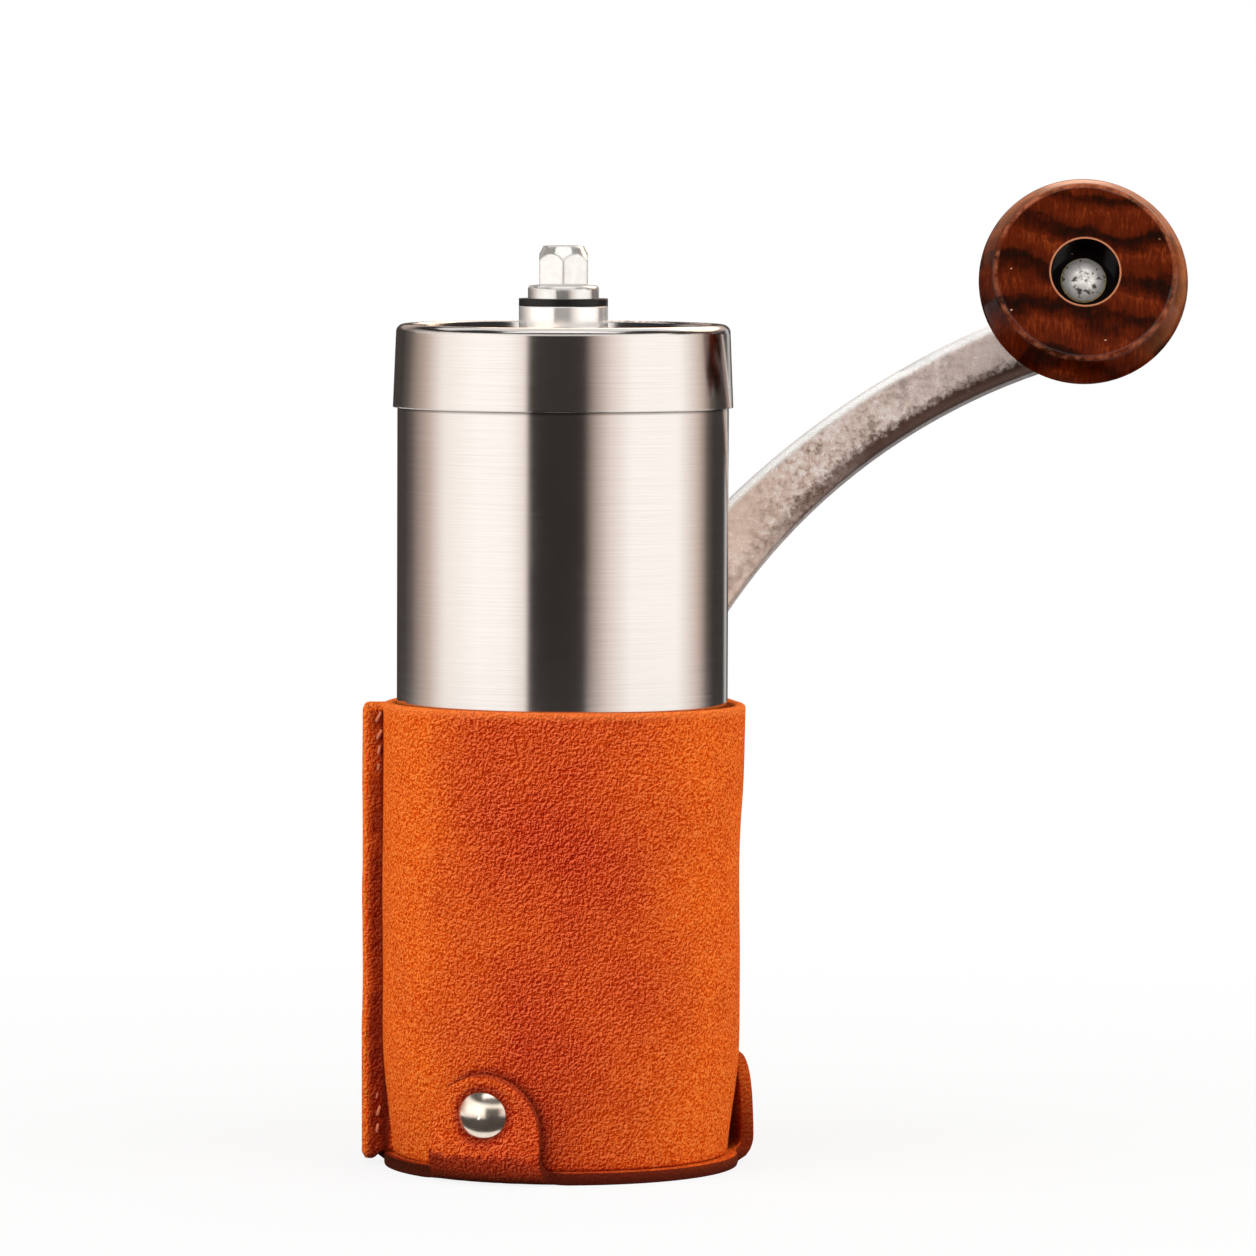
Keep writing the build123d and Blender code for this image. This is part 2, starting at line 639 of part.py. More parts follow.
def biarc(start, start_dir, end, end_dir):
    """Two arcs that leave one point and reach another in the given directions."""
    chord = end - start
    both = start_dir + end_dir
    bend = 2 * (1 - start_dir.dot(end_dir))
    along = chord.dot(both)
    reach = (sqrt(along**2 + bend * chord.dot(chord)) - along) / bend
    middle = (start + end + (start_dir - end_dir) * reach) * 0.5
    first = TangentArc(start, middle, tangent=start_dir)
    TangentArc(middle, end, tangent=first % 1)


with BuildPart() as burr_spring:
    with BuildLine() as coil_path:
        for quarter in range(quarter_turns):
            biarc(
                coil_point(quarter / 4),
                coil_direction(quarter / 4),
                coil_point((quarter + 1) / 4),
                coil_direction((quarter + 1) / 4),
            )
    with BuildSketch(Plane(origin=coil_point(0), z_dir=coil_direction(0))):
        Circle(wire_r)
    sweep(path=coil_path.wires()[0])
save(burr_spring, "burr_spring")
print("spring: gap between turns", round(coil_pitch - WIRE_D, 2), "mm")

# Leather wall: wraps the body, and at the back the pocket that holds the crank


def pocket_corners(height):
    """Left and right inner corners of the pocket at a height."""
    middle = crank_hub_y + (height - CRANK_HUB_Z) * tan(lean)
    back = middle + (ARM_T / 2 + POCKET_GAP) / cos(lean)
    left = CRANK_HUB_X - hub_r - POCKET_GAP
    rise = (height - CRANK_HUB_Z) / cos(lean) + ARM_T / 2 * tan(lean)
    arm_right = inner_at.X - sqrt(ARM_INNER_R**2 - (rise - inner_at.Y) ** 2)
    right = CRANK_HUB_X + max(hub_r, arm_right) + POCKET_GAP
    return Vector(left, back), Vector(right, back)


def pocket_outline(height, skin):
    """Corner points of the wall's outline at a height, with its round stretches' middles."""
    left, right = pocket_corners(height)
    corner_r = POCKET_CORNER + skin
    round_r = sleeve_r + skin
    right_at = right - Vector(POCKET_CORNER, POCKET_CORNER)
    left_at = left + Vector(POCKET_CORNER, -POCKET_CORNER)
    right_turn = atan2(right_at.Y, right_at.X) - acos((round_r - corner_r) / right_at.length)
    left_turn = atan2(left_at.Y, left_at.X) + acos((round_r - corner_r) / left_at.length)

    def on(centre, radius, turn):
        return centre + Vector(cos(turn), sin(turn)) * radius

    front = [left_turn + (right_turn + 2 * pi - left_turn) * share / 6 for share in range(7)]
    middle = Vector(0, 0)
    return [
        (on(middle, round_r, right_turn), None),
        (on(right_at, corner_r, right_turn), on(right_at, corner_r, (right_turn + pi / 2) / 2)),
        (on(right_at, corner_r, pi / 2), None),
        (on(left_at, corner_r, pi / 2), on(left_at, corner_r, (left_turn + pi / 2) / 2)),
        (on(left_at, corner_r, left_turn), None),
        (on(middle, round_r, front[0]), on(middle, round_r, front[1])),
        (on(middle, round_r, front[2]), on(middle, round_r, front[3])),
        (on(middle, round_r, front[4]), on(middle, round_r, front[5])),
    ]


def round_outline(radius, height):
    """A circle split at the same directions as the pocket's outline at a height."""
    turns = [atan2(point.Y, point.X) % (2 * pi) for point, _ in pocket_outline(height, 0.0)]
    outline = []
    for index, turn in enumerate(turns):
        after = turns[(index + 1) % len(turns)]
        half = turn + ((after - turn) % (2 * pi)) / 2
        outline.append(
            (Vector(radius * cos(turn), radius * sin(turn)), Vector(radius * cos(half), radius * sin(half)))
        )
    return outline


def outline_section(height, outline):
    """Section of the wall at a height: a closed outline of lines and arcs."""
    with BuildSketch(Plane.XY.offset(height)) as section:
        with BuildLine():
            for index, (start, middle) in enumerate(outline):
                end = outline[(index + 1) % len(outline)][0]
                if middle is None:
                    Line(start, end)
                else:
                    ThreePointArc(start, middle, end)
        make_face()
    return section.sketch


pocket_foot = CRANK_HUB_Z - (hub_r + POCKET_GAP) * cos(lean)
pocket_half = (pocket_foot + sleeve_top) / 2


def sleeve_sections(skin):
    """Sections of the wall from its foot to its top edge, with the leather's thickness as skin."""
    return [
        outline_section(BASE_LEATHER, round_outline(sleeve_foot_r + skin, pocket_foot)),
        outline_section(foot_top, round_outline(sleeve_r + skin, pocket_foot)),
        outline_section(pocket_foot, pocket_outline(pocket_foot, skin)),
        outline_section(pocket_half, pocket_outline(pocket_half, skin)),
        outline_section(sleeve_top, pocket_outline(sleeve_top, skin)),
    ]


def rivet_plane(azimuth, radius):
    """Plane square to a rivet at a distance from the axis, facing outward."""
    turn = radians(azimuth - 90)
    outward = Vector(cos(turn), sin(turn), 0)
    return Plane(origin=outward * radius + Vector(0, 0, RIVET_Z), x_dir=(0, 0, 1), z_dir=outward)


ear_in_r = wall_out(RIVET_Z) + EAR_SEAT
ear_out_r = ear_in_r + BASE_LEATHER
post_head_r = sleeve_foot_r + wall_slope * (RIVET_Z + POST_HEAD_D / 2 - BASE_LEATHER)
cap_seat_r = ear_out_r - RIVET_SINK
fin_w = 2 * LEATHER + FIN_SLIT
with BuildPart() as sleeve_wall:
    loft(sleeve_sections(LEATHER), ruled=True)
    with BuildSketch(Plane.XY.offset(BASE_LEATHER + FIN_FOOT)):
        with Locations((-FIN_REACH / 2, 0)):
            Rectangle(FIN_REACH, fin_w)
    extrude(amount=SLEEVE_H - FIN_FOOT)
    fin_edges = sleeve_wall.edges().filter_by(Axis.Z).group_by(Axis.X)[0]
    fillet(fin_edges, LEATHER / 2)
    loft(sleeve_sections(0.0), ruled=True, mode=Mode.SUBTRACT)
    with BuildSketch(Plane.XY.offset(BASE_LEATHER)):
        with Locations((-FIN_REACH, 0)):
            Rectangle(FIN_REACH, FIN_SLIT)
    extrude(amount=SLEEVE_H, mode=Mode.SUBTRACT)
    for azimuth in EAR_AZIMUTHS:
        with BuildSketch(rivet_plane(azimuth, post_head_r)):
            Circle(POST_D / 2 + RUN_FIT)
        extrude(amount=2 * LEATHER, mode=Mode.SUBTRACT)
        with BuildSketch(rivet_plane(azimuth, post_head_r + POST_HEAD_T)):
            Circle(POST_HEAD_D / 2 + RUN_FIT)
        extrude(amount=-2 * LEATHER, mode=Mode.SUBTRACT)
save(sleeve_wall, "sleeve_wall")

# One ear towards +X: a strip turned up from the base disc, cut to a bell outline
bend_top = BASE_LEATHER + EAR_BULGE
bend_at = (wall_out(BASE_LEATHER), bend_top)
bulge_r = bend_at[0] + EAR_BULGE
ear_half = EAR_W / 2
ear_shoulder = EAR_H - ear_half
pinch = (ear_in_r, RIVET_Z - EAR_PINCH)
ear_tip = (ear_in_r + wall_slope * (EAR_H - RIVET_Z), EAR_H)
ear_root = bend_at[0] - EAR_FLARE
flare_turn = EAR_FLARE * (1 - cos(radians(45)))
with BuildPart() as ear:
    with BuildSketch(Plane.XZ):
        with BuildLine():
            Line((ear_root, BASE_LEATHER), (bend_at[0], BASE_LEATHER))
            CenterArc(bend_at, EAR_BULGE, -90, 90)
            Polyline((bulge_r, bend_top), pinch, ear_tip)
            Line(ear_tip, (ear_tip[0] + BASE_LEATHER, EAR_H))
            Polyline(
                (ear_tip[0] + BASE_LEATHER, EAR_H),
                (pinch[0] + BASE_LEATHER, pinch[1]),
                (bulge_r + BASE_LEATHER, bend_top),
            )
            CenterArc(bend_at, EAR_BULGE + BASE_LEATHER, 0, -90)
            Polyline((bend_at[0], 0), (ear_root, 0), (ear_root, BASE_LEATHER))
        make_face()
    revolve(axis=Axis.Z)
    with BuildSketch(Plane.YZ):
        with BuildLine():
            Polyline((-ear_half - EAR_FLARE, 0), (ear_half + EAR_FLARE, 0))
            ThreePointArc(
                (ear_half + EAR_FLARE, 0),
                (ear_half + flare_turn, flare_turn),
                (ear_half, EAR_FLARE),
            )
            Line((ear_half, EAR_FLARE), (ear_half, ear_shoulder))
            ThreePointArc((ear_half, ear_shoulder), (0, EAR_H), (-ear_half, ear_shoulder))
            Line((-ear_half, ear_shoulder), (-ear_half, EAR_FLARE))
            ThreePointArc(
                (-ear_half, EAR_FLARE),
                (-ear_half - flare_turn, flare_turn),
                (-ear_half - EAR_FLARE, 0),
            )
        make_face()
    extrude(amount=BODY_D, mode=Mode.INTERSECT)

# Base disc with its three ears, their rivet holes and the seats of the rivet caps
with BuildPart() as sleeve_base:
    with BuildSketch(Plane.XY):
        Circle(BASE_D / 2)
    extrude(amount=BASE_LEATHER)
    for azimuth in EAR_AZIMUTHS:
        with BuildSketch(Plane.XY.rotated((0, 0, azimuth - 90))):
            with Locations((bend_at[0] + BASE_D / 2, 0)):
                Rectangle(BASE_D, EAR_W + 2 * EAR_FLARE)
        extrude(amount=BASE_LEATHER, mode=Mode.SUBTRACT)
        with Locations(Location((0, 0, 0), (0, 0, azimuth - 90))):
            add(ear.part)
        with BuildSketch(rivet_plane(azimuth, post_head_r)):
            Circle(POST_D / 2 + RUN_FIT)
        extrude(amount=BASE_D, mode=Mode.SUBTRACT)
        with BuildSketch(rivet_plane(azimuth, cap_seat_r)):
            Circle(RIVET_D / 2 + RUN_FIT)
        extrude(amount=BASE_LEATHER, mode=Mode.SUBTRACT)
save(sleeve_base, "sleeve_base")

# Rivet posts, each with a flat head sunk in the wall's inside
with BuildPart() as rivet_posts:
    for azimuth in EAR_AZIMUTHS:
        with BuildSketch(rivet_plane(azimuth, post_head_r)):
            Circle(POST_HEAD_D / 2)
        extrude(amount=POST_HEAD_T)
        with BuildSketch(rivet_plane(azimuth, post_head_r)):
            Circle(POST_D / 2)
        extrude(amount=cap_seat_r - post_head_r)
save(rivet_posts, "rivet_posts")


def dome_profile(plane, radius, rim, dome):
    """Half of a domed head, its underside on the plane's X axis."""
    sphere_r = (radius**2 + dome**2) / (2 * dome)
    half_turn = acos((sphere_r - dome) / sphere_r) / 2
    middle = (sphere_r * sin(half_turn), rim + dome - sphere_r * (1 - cos(half_turn)))
    with BuildSketch(plane) as profile:
        with BuildLine():
            Polyline((0, rim + dome), (0, 0), (radius, 0), (radius, rim))
            ThreePointArc((radius, rim), middle, (0, rim + dome))
        make_face()
    return profile.sketch


# Rivet caps on the ears
with BuildPart() as rivet_caps:
    for azimuth in EAR_AZIMUTHS:
        seat = rivet_plane(azimuth, cap_seat_r)
        half = Plane(origin=seat.origin, x_dir=seat.x_dir, z_dir=-seat.y_dir)
        profile = dome_profile(half, RIVET_D / 2, RIVET_RIM, RIVET_DOME)
        revolve(profile, axis=Axis(seat.origin, seat.z_dir))
save(rivet_caps, "rivet_caps")


# Crank arm: its two edges are arcs that touch the round hub and the round eye
crank_axis = Axis(crank_hub, crank_out)
with BuildPart() as crank_arm:
    with BuildSketch(crank_plane):
        with BuildLine():
            ThreePointArc(outer_hub, outer_mid, outer_eye)
            ThreePointArc(outer_eye, eye_end, inner_eye)
            ThreePointArc(inner_eye, inner_mid, inner_hub)
            ThreePointArc(inner_hub, hub_end, outer_hub)
        make_face()
    extrude(amount=ARM_T / 2, both=True)
    arm_faces = crank_arm.faces().sort_by(crank_axis)
    fillet(arm_faces[0].edges() + arm_faces[-1].edges(), ARM_ROUND)
    with BuildSketch(crank_plane):
        RegularPolygon(radius=HEX_AF / 2 + SOCKET_FIT, side_count=6, major_radius=False)
        with Locations(eye_at):
            Circle(PIN_TAIL_D / 2 + PIN_FIT)
    extrude(amount=ARM_T, both=True, mode=Mode.SUBTRACT)
save(crank_arm, "crank_arm")

# Knob pieces are turned about the axis of the pin, which stands square on the arm
knob_axis = Axis(knob_plane.origin, crank_out)
knob_profile_plane = Plane(origin=knob_plane.origin, x_dir=(1, 0, 0), z_dir=-crank_up)

# Pin: tail in the arm, shoulder on it, shank through the knob and a domed head
head_seat = sink_floor + RUN_FIT
with BuildPart() as knob_pin:
    with BuildSketch(knob_profile_plane):
        with BuildLine():
            Polyline(
                (0, -ARM_T),
                (PIN_TAIL_D / 2, -ARM_T),
                (PIN_TAIL_D / 2, 0),
                (pin_r, 0),
                (pin_r, head_seat),
                (0, head_seat),
                close=True,
            )
        make_face()
    revolve(axis=knob_axis)
    head_plane = Plane(knob_plane.offset(head_seat).origin, x_dir=(1, 0, 0), z_dir=-crank_up)
    revolve(dome_profile(head_plane, PIN_HEAD_D / 2, PIN_HEAD_RIM, PIN_HEAD_DOME), axis=knob_axis)
save(knob_pin, "knob_pin")

# Washer between the arm and the knob
with BuildPart() as knob_washer:
    with BuildSketch(knob_plane):
        Circle(KNOB_WASHER_D / 2)
        Circle(liner_in_r, mode=Mode.SUBTRACT)
    extrude(amount=KNOB_WASHER_T)
save(knob_washer, "knob_washer")

# Liner in the knob's bore
with BuildPart() as knob_bush:
    with BuildSketch(knob_plane.offset(knob_foot)):
        Circle(liner_out_r)
        Circle(liner_in_r, mode=Mode.SUBTRACT)
    extrude(amount=sink_floor - knob_foot)
save(knob_bush, "knob_bush")

# Knob: turned wood, narrow at the arm, widest near its face, with a counterbored bore
shoulder_z = knob_face - KNOB_SHOULDER
knob_r = KNOB_D / 2
face_r = KNOB_FACE_D / 2
knob_foot_r = KNOB_FOOT_D / 2
sink_r = KNOB_SINK_D / 2
bore_wall_r = liner_out_r + PIN_FIT
with BuildPart() as knob:
    with BuildSketch(knob_profile_plane) as knob_profile:
        with BuildLine():
            Polyline(
                (bore_wall_r, knob_foot),
                (knob_foot_r, knob_foot),
                (knob_r, shoulder_z),
                (face_r, knob_face),
                (sink_r, knob_face),
                (sink_r, sink_floor),
                (bore_wall_r, sink_floor),
                close=True,
            )
        make_face()
        round_corner(knob_profile, (knob_r, shoulder_z), KNOB_SHOULDER_ROUND)
        round_corner(knob_profile, (face_r, knob_face), KNOB_FACE_ROUND)
        round_corner(knob_profile, (knob_foot_r, knob_foot), KNOB_FOOT_ROUND)
    revolve(axis=knob_axis)
save(knob, "knob")
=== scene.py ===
import json
import math
import random
from functools import partialmethod

import bpy
import numpy as np
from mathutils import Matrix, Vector, noise
from mathutils.bvhtree import BVHTree
from mathutils.geometry import delaunay_2d_cdt


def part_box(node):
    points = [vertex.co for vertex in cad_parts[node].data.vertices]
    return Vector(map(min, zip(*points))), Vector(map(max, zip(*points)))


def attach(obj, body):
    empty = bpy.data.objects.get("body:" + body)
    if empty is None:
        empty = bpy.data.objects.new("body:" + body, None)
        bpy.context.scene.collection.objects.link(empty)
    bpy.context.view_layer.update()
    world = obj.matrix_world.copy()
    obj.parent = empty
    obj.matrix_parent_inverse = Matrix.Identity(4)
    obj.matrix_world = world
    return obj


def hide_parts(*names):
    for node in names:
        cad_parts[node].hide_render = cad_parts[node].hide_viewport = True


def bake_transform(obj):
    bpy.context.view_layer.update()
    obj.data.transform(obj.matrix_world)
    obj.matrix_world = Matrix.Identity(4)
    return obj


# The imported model, fixed, in metres
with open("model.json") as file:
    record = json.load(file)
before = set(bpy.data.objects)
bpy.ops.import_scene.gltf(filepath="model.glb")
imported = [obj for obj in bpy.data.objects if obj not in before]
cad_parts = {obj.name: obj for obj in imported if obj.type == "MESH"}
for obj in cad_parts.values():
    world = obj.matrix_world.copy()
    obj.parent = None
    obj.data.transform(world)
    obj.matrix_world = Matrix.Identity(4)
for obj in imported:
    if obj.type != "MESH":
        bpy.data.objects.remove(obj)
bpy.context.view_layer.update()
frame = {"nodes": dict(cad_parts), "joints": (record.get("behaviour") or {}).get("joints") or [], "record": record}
nodes = frame["nodes"]
MM = 0.001

# Camera, worked out from the photograph
PHOTO_PX = 1256
FOCAL_PX = 8289.67
SENSOR_MM = 36.0
CAMERA_AT = (9.25 * MM, -1200 * MM, 151.5 * MM)
CAMERA_PITCH = math.radians(3.5)
CAMERA_ROLL = math.radians(-0.2)

# Studio
STUDIO_R = 0.75  # screen and soft boxes stand this far from the object
RING_H = 1.5  # height of the screen round the set
RING_BACK_H = 0.75  # and behind it
RING_BACK = 105  # from this azimuth on
SCREEN_SIDES = 96
SCREEN_FOOT = 1 * MM
RING_LIT = (0.42, 0.55)  # its light fades out between these heights
UPPER_FROM = (0.25, 0.30)  # heights over which its upper part takes over from the lower
AMBIENT = 0.5  # world's light on the object, where 1 would be its white background
FLOOR_SIZE = 60.0
FLOOR_GREY = (0.55, 0.55, 0.55)
FLOOR_GLOW = 0.86  # share of plain white in the floor beside the object
FLOOR_FADE = (0.06, 0.30)  # from the object out to here, the floor turns plain white
CLOTH_Z = 0.5 * MM  # dark cloth lies this far above the floor
CLOTH_STEP = 6  # degrees between its points
AIM_Z = 0.08  # height that the lamps face

# Leather sleeve
LEATHER = 1.6 * MM
BASE_LEATHER = 1.8 * MM
FIN_SLIT = 0.2 * MM
FIN_CREASE_R = 1.0 * MM  # bend between wall and fin, at the leather's middle
FIN_CORNER_R = 0.9 * MM  # rounded corners of the fin
FIN_RAGGED = 0.35 * MM  # how far its edge strays
FIN_HANGS = 1.0 * MM  # the fin's foot reaches this far below the wall's
FIN_TURN = math.pi  # the fin points to -X
RIM_ROUND = 0.5 * MM  # round of the leather's cut edges
EAR_HALF_W = 8.6 * MM
EAR_FLARE = 4.0 * MM
EAR_BEND_R = 2.9 * MM  # bend at an ear's foot, at the leather's middle
EAR_MESH = 0.85 * MM  # spacing of the base's mesh
STITCH_PITCH = 2.3 * MM
STITCH_R = 0.24 * MM


def link(obj):
    """Put a new object into the scene."""
    bpy.context.scene.collection.objects.link(obj)
    return obj


def mesh_object(name, vertices, faces):
    """A smooth-shaded mesh object made from points and faces."""
    mesh = bpy.data.meshes.new(name)
    mesh.from_pydata([tuple(v) for v in vertices], [], faces)
    mesh.validate()
    mesh.update()
    mesh.shade_smooth()
    return link(bpy.data.objects.new(name, mesh))


def tube_faces(rings, sides):
    """Faces between the rings of a tube."""
    faces = []
    for ring in range(rings - 1):
        for side in range(sides):
            here, there = ring * sides, (ring + 1) * sides
            beyond = (side + 1) % sides
            faces.append((here + side, here + beyond, there + beyond, there + side))
    return faces


def closed_tube_faces(rings, sides):
    """The same the other way round, with both ends closed."""
    faces = [face[:1] + face[:0:-1] for face in tube_faces(rings, sides)]
    last = range((rings - 1) * sides, rings * sides)
    return faces + [tuple(range(sides)), tuple(reversed(last))]


# Camera
def make_camera():
    data = bpy.data.cameras.new("camera")
    data.sensor_fit = "HORIZONTAL"
    data.sensor_width = SENSOR_MM
    data.lens = FOCAL_PX / PHOTO_PX * SENSOR_MM
    camera = link(bpy.data.objects.new("camera", data))
    camera.location = CAMERA_AT
    camera.rotation_euler = (math.pi / 2 - CAMERA_PITCH, CAMERA_ROLL, 0)
    bpy.context.scene.camera = camera


make_camera()
bpy.context.scene.view_settings.view_transform = "Standard"


NOISE_SPAN = (0.3, 0.7)  # most of a noise lies between these


def rgba(value):
    """A colour with full opacity; other values stay as they are."""
    return (*value, 1.0) if isinstance(value, tuple) and len(value) == 3 else value


class Shade:
    """Short hand for building the nodes of one material, or of the world."""

    def __init__(self, name, kind="materials", shader="Principled BSDF"):
        self.owner = getattr(bpy.data, kind).new(name)
        self.owner.use_nodes = True
        self.tree = self.owner.node_tree
        self.shader = self.tree.nodes[shader]

    def feed(self, socket, value):
        if isinstance(value, bpy.types.NodeSocket):
            self.tree.links.new(value, socket)
        else:
            socket.default_value = value

    def node(self, kind, values, **settings):
        made = self.tree.nodes.new("ShaderNode" + kind)
        for key, value in settings.items():
            setattr(made, key, value)
        for key, value in values.items():
            self.feed(made.inputs[key], value)
        return made

    def place(self):
        """Position on the object, in metres."""
        return self.node("TexCoord", {}).outputs["Object"]

    def axes(self, vector):
        """X, Y and Z of a vector."""
        return self.node("SeparateXYZ", {"Vector": vector}).outputs

    def vector(self, operation, first, second=(0.0, 0.0, 0.0), out="Vector"):
        return self.node("VectorMath", {0: first, 1: second}, operation=operation).outputs[out]

    shifted = partialmethod(vector, "ADD")
    scaled = partialmethod(vector, "MULTIPLY")
    length = partialmethod(vector, "LENGTH", out="Value")
    dot = partialmethod(vector, "DOT_PRODUCT", out="Value")

    def math(self, operation, first, second=0.0):
        return self.node("Math", {0: first, 1: second}, operation=operation).outputs[0]

    plus = partialmethod(math, "ADD")
    minus = partialmethod(math, "SUBTRACT")
    times = partialmethod(math, "MULTIPLY")
    most = partialmethod(math, "MAXIMUM")

    def noise(self, vector, scale, detail=3.0, roughness=0.55, distortion=0.0):
        values = dict(Vector=vector, Scale=scale, Detail=detail, Roughness=roughness, Distortion=distortion)
        return self.node("TexNoise", values).outputs["Fac"]

    def ramp(self, factor, stops):
        """Colours or grey levels along a factor."""
        made = self.node("ValToRGB", {"Fac": factor})
        band = made.color_ramp
        while len(band.elements) < len(stops):
            band.elements.new(0.5)
        for element, (at, colour) in zip(band.elements, stops):
            element.position = at
            element.color = rgba(colour if isinstance(colour, tuple) else (colour,) * 3)
        return made.outputs["Color"]

    def span(self, factor, low, high, to_low, to_high):
        values = {"Value": factor, 1: low, 2: high, 3: to_low, 4: to_high}
        return self.node("MapRange", values).outputs[0]

    def vary(self, noise, low, high):
        """A value that follows a noise from its low spots to its high ones."""
        return self.span(noise, *NOISE_SPAN, low, high)

    def mix(self, factor, first, second):
        made = self.node("Mix", {}, data_type="RGBA")
        for socket, value in ((made.inputs[0], factor), (made.inputs[6], first), (made.inputs[7], second)):
            self.feed(socket, rgba(value))
        return made.outputs[2]

    def bump(self, height, distance, strength=1.0, normal=None):
        values = {"Height": height, "Distance": distance, "Strength": strength}
        if normal is not None:
            values["Normal"] = normal
        return self.node("Bump", values).outputs["Normal"]

    def rounded(self, radius):
        """Normal of the surface with its edges rounded off."""
        return self.node("Bevel", {"Radius": radius}, samples=6).outputs["Normal"]

    def seen_directly(self):
        """1 for rays from the camera and for mirrored or refracted ones, 0 for the others."""
        path = self.node("LightPath", {}).outputs
        seen = self.most(path["Is Camera Ray"], path["Is Glossy Ray"])
        return self.most(seen, path["Is Transmission Ray"])

    def done(self, **inputs):
        """Set the shader's inputs, named with underscores for spaces."""
        for key, value in inputs.items():
            self.feed(self.shader.inputs[key.replace("_", " ")], rgba(value))
        return self.owner


# Materials
NAP_SCALE = 2250  # pebbles of the nap, per metre
NAP_LIGHT_SHIFT = (-0.10 * MM, 0.0, 0.10 * MM)  # painted relief shading: each nap pebble is lighter on the side this offset points to; its direction and reach
FIBRE_SCALE = 5200  # single fibres, per metre
CLOUD_SCALE = 55  # cloudy patches, per metre
FRONT_SHADE_Y = (-26.6 * MM, -16 * MM)  # painted shade: darker and redder in front of the first, full colour behind the second
FADED_Y = (4 * MM, 20 * MM)  # and a little faded towards the back
CUT_EDGE_Z = (3 * MM, 13 * MM)  # cut edges are darker, partly their own colour and partly painted shade low down, and turn paler between these heights
FOOT_SHADE_Z = (0.4 * MM, 2.2 * MM)  # painted shade at the foot fades out between these
# darker, redder tones for painted shade and the faded back, and the suede's full tones
DARK_STOPS = [(0.22, (0.28, 0.006, 0.0005)), (0.50, (0.51, 0.030, 0.003)), (0.80, (0.90, 0.150, 0.055))]
FULL_STOPS = [(0.22, (0.66, 0.044, 0.0005)), (0.50, (0.97, 0.138, 0.009)), (0.80, (1.0, 0.280, 0.048))]


def suede_material(name, kept=0.04, cut_edge=False):
    """Orange suede with painted relief shading on its nap, painted shade in front down to the share of full colour
    kept there, and painted shade at its foot.
    """
    s = Shade(name)
    at = s.place()
    lit_side_at = s.shifted(at, NAP_LIGHT_SHIFT)
    nap = s.noise(at, NAP_SCALE, 2, 0.55, 0.5)
    # painted relief shading: the nap here less the nap one offset away, as if each pebble were lit from that side
    lean = s.minus(nap, s.noise(lit_side_at, NAP_SCALE, 2, 0.55, 0.5))
    fibre = s.noise(at, FIBRE_SCALE, 2, 0.6)
    relief = s.plus(s.times(nap, 0.5), s.times(fibre, 0.3))
    tone = s.plus(s.times(lean, 2.9), s.plus(relief, 0.1))
    dark_tone = s.ramp(tone, DARK_STOPS)
    full_tone = s.ramp(tone, FULL_STOPS)
    axes = s.axes(at)
    cloud = s.vary(s.noise(at, CLOUD_SCALE, 3, 0.6), -0.28, 0.28)
    # painted shade: the share of full colour drops towards the front
    full_share = s.plus(s.span(axes["Y"], *FRONT_SHADE_Y, kept, 1.0), cloud)
    # painted shade from the crease attribute at the fin's crease and face, ear edges, rivets and base rim; below
    # zero, painted highlight
    crease = s.node("Attribute", {}, attribute_name="crease").outputs["Fac"]
    fade_and_shade = s.span(axes["Y"], *FADED_Y, 0.0, 0.35)
    # painted shade from the crease also pulls towards the darker tone
    fade_and_shade = s.plus(s.span(crease, 0.0, 1.0, 0.0, 1.6), fade_and_shade)
    full_share = s.minus(full_share, fade_and_shade)
    colour = s.mix(full_share, dark_tone, full_tone)
    if cut_edge:
        # painted shade on cut edges low down, over their own darker colour
        cut = s.span(axes["Z"], *CUT_EDGE_Z, 0.9, 0.5)
        colour = s.mix(cut, colour, (0.15, 0.016, 0.007))
    # painted shade where the crease attribute is above zero
    colour = s.mix(crease, colour, (0.012, 0.002, 0.001) if cut_edge else (0.10, 0.007, 0.003))
    # painted highlight where it is below zero
    colour = s.mix(s.span(crease, -1.0, 0.0, 0.4, 0.0), colour, (1.0, 0.27, 0.06))
    # painted shade at the foot, where the leather meets the floor
    foot_shade = s.span(axes["Z"], *FOOT_SHADE_Z, 0.88, 0.0)
    colour = s.mix(foot_shade, colour, (0.07, 0.010, 0.006))
    return s.done(
        Base_Color=colour,
        Roughness=0.95,
        Normal=s.bump(relief, 1.1 * MM, 1.0),
        Specular_IOR_Level=0.02,
        Sheen_Weight=0.05,
        Sheen_Roughness=0.45,
        Sheen_Tint=(1.0, 0.36, 0.08),
    )


CAP_SHADE_H = 0.5 * MM  # painted shade line on the tube under the cap's edge
NECK_R = (6.8 * MM, 7.3 * MM)  # polished bright inside the first radius, brushed outside the second
BRUSH_ROUND = 55  # brushed lines, per metre round the body
BRUSH_ACROSS = 11000  # and across


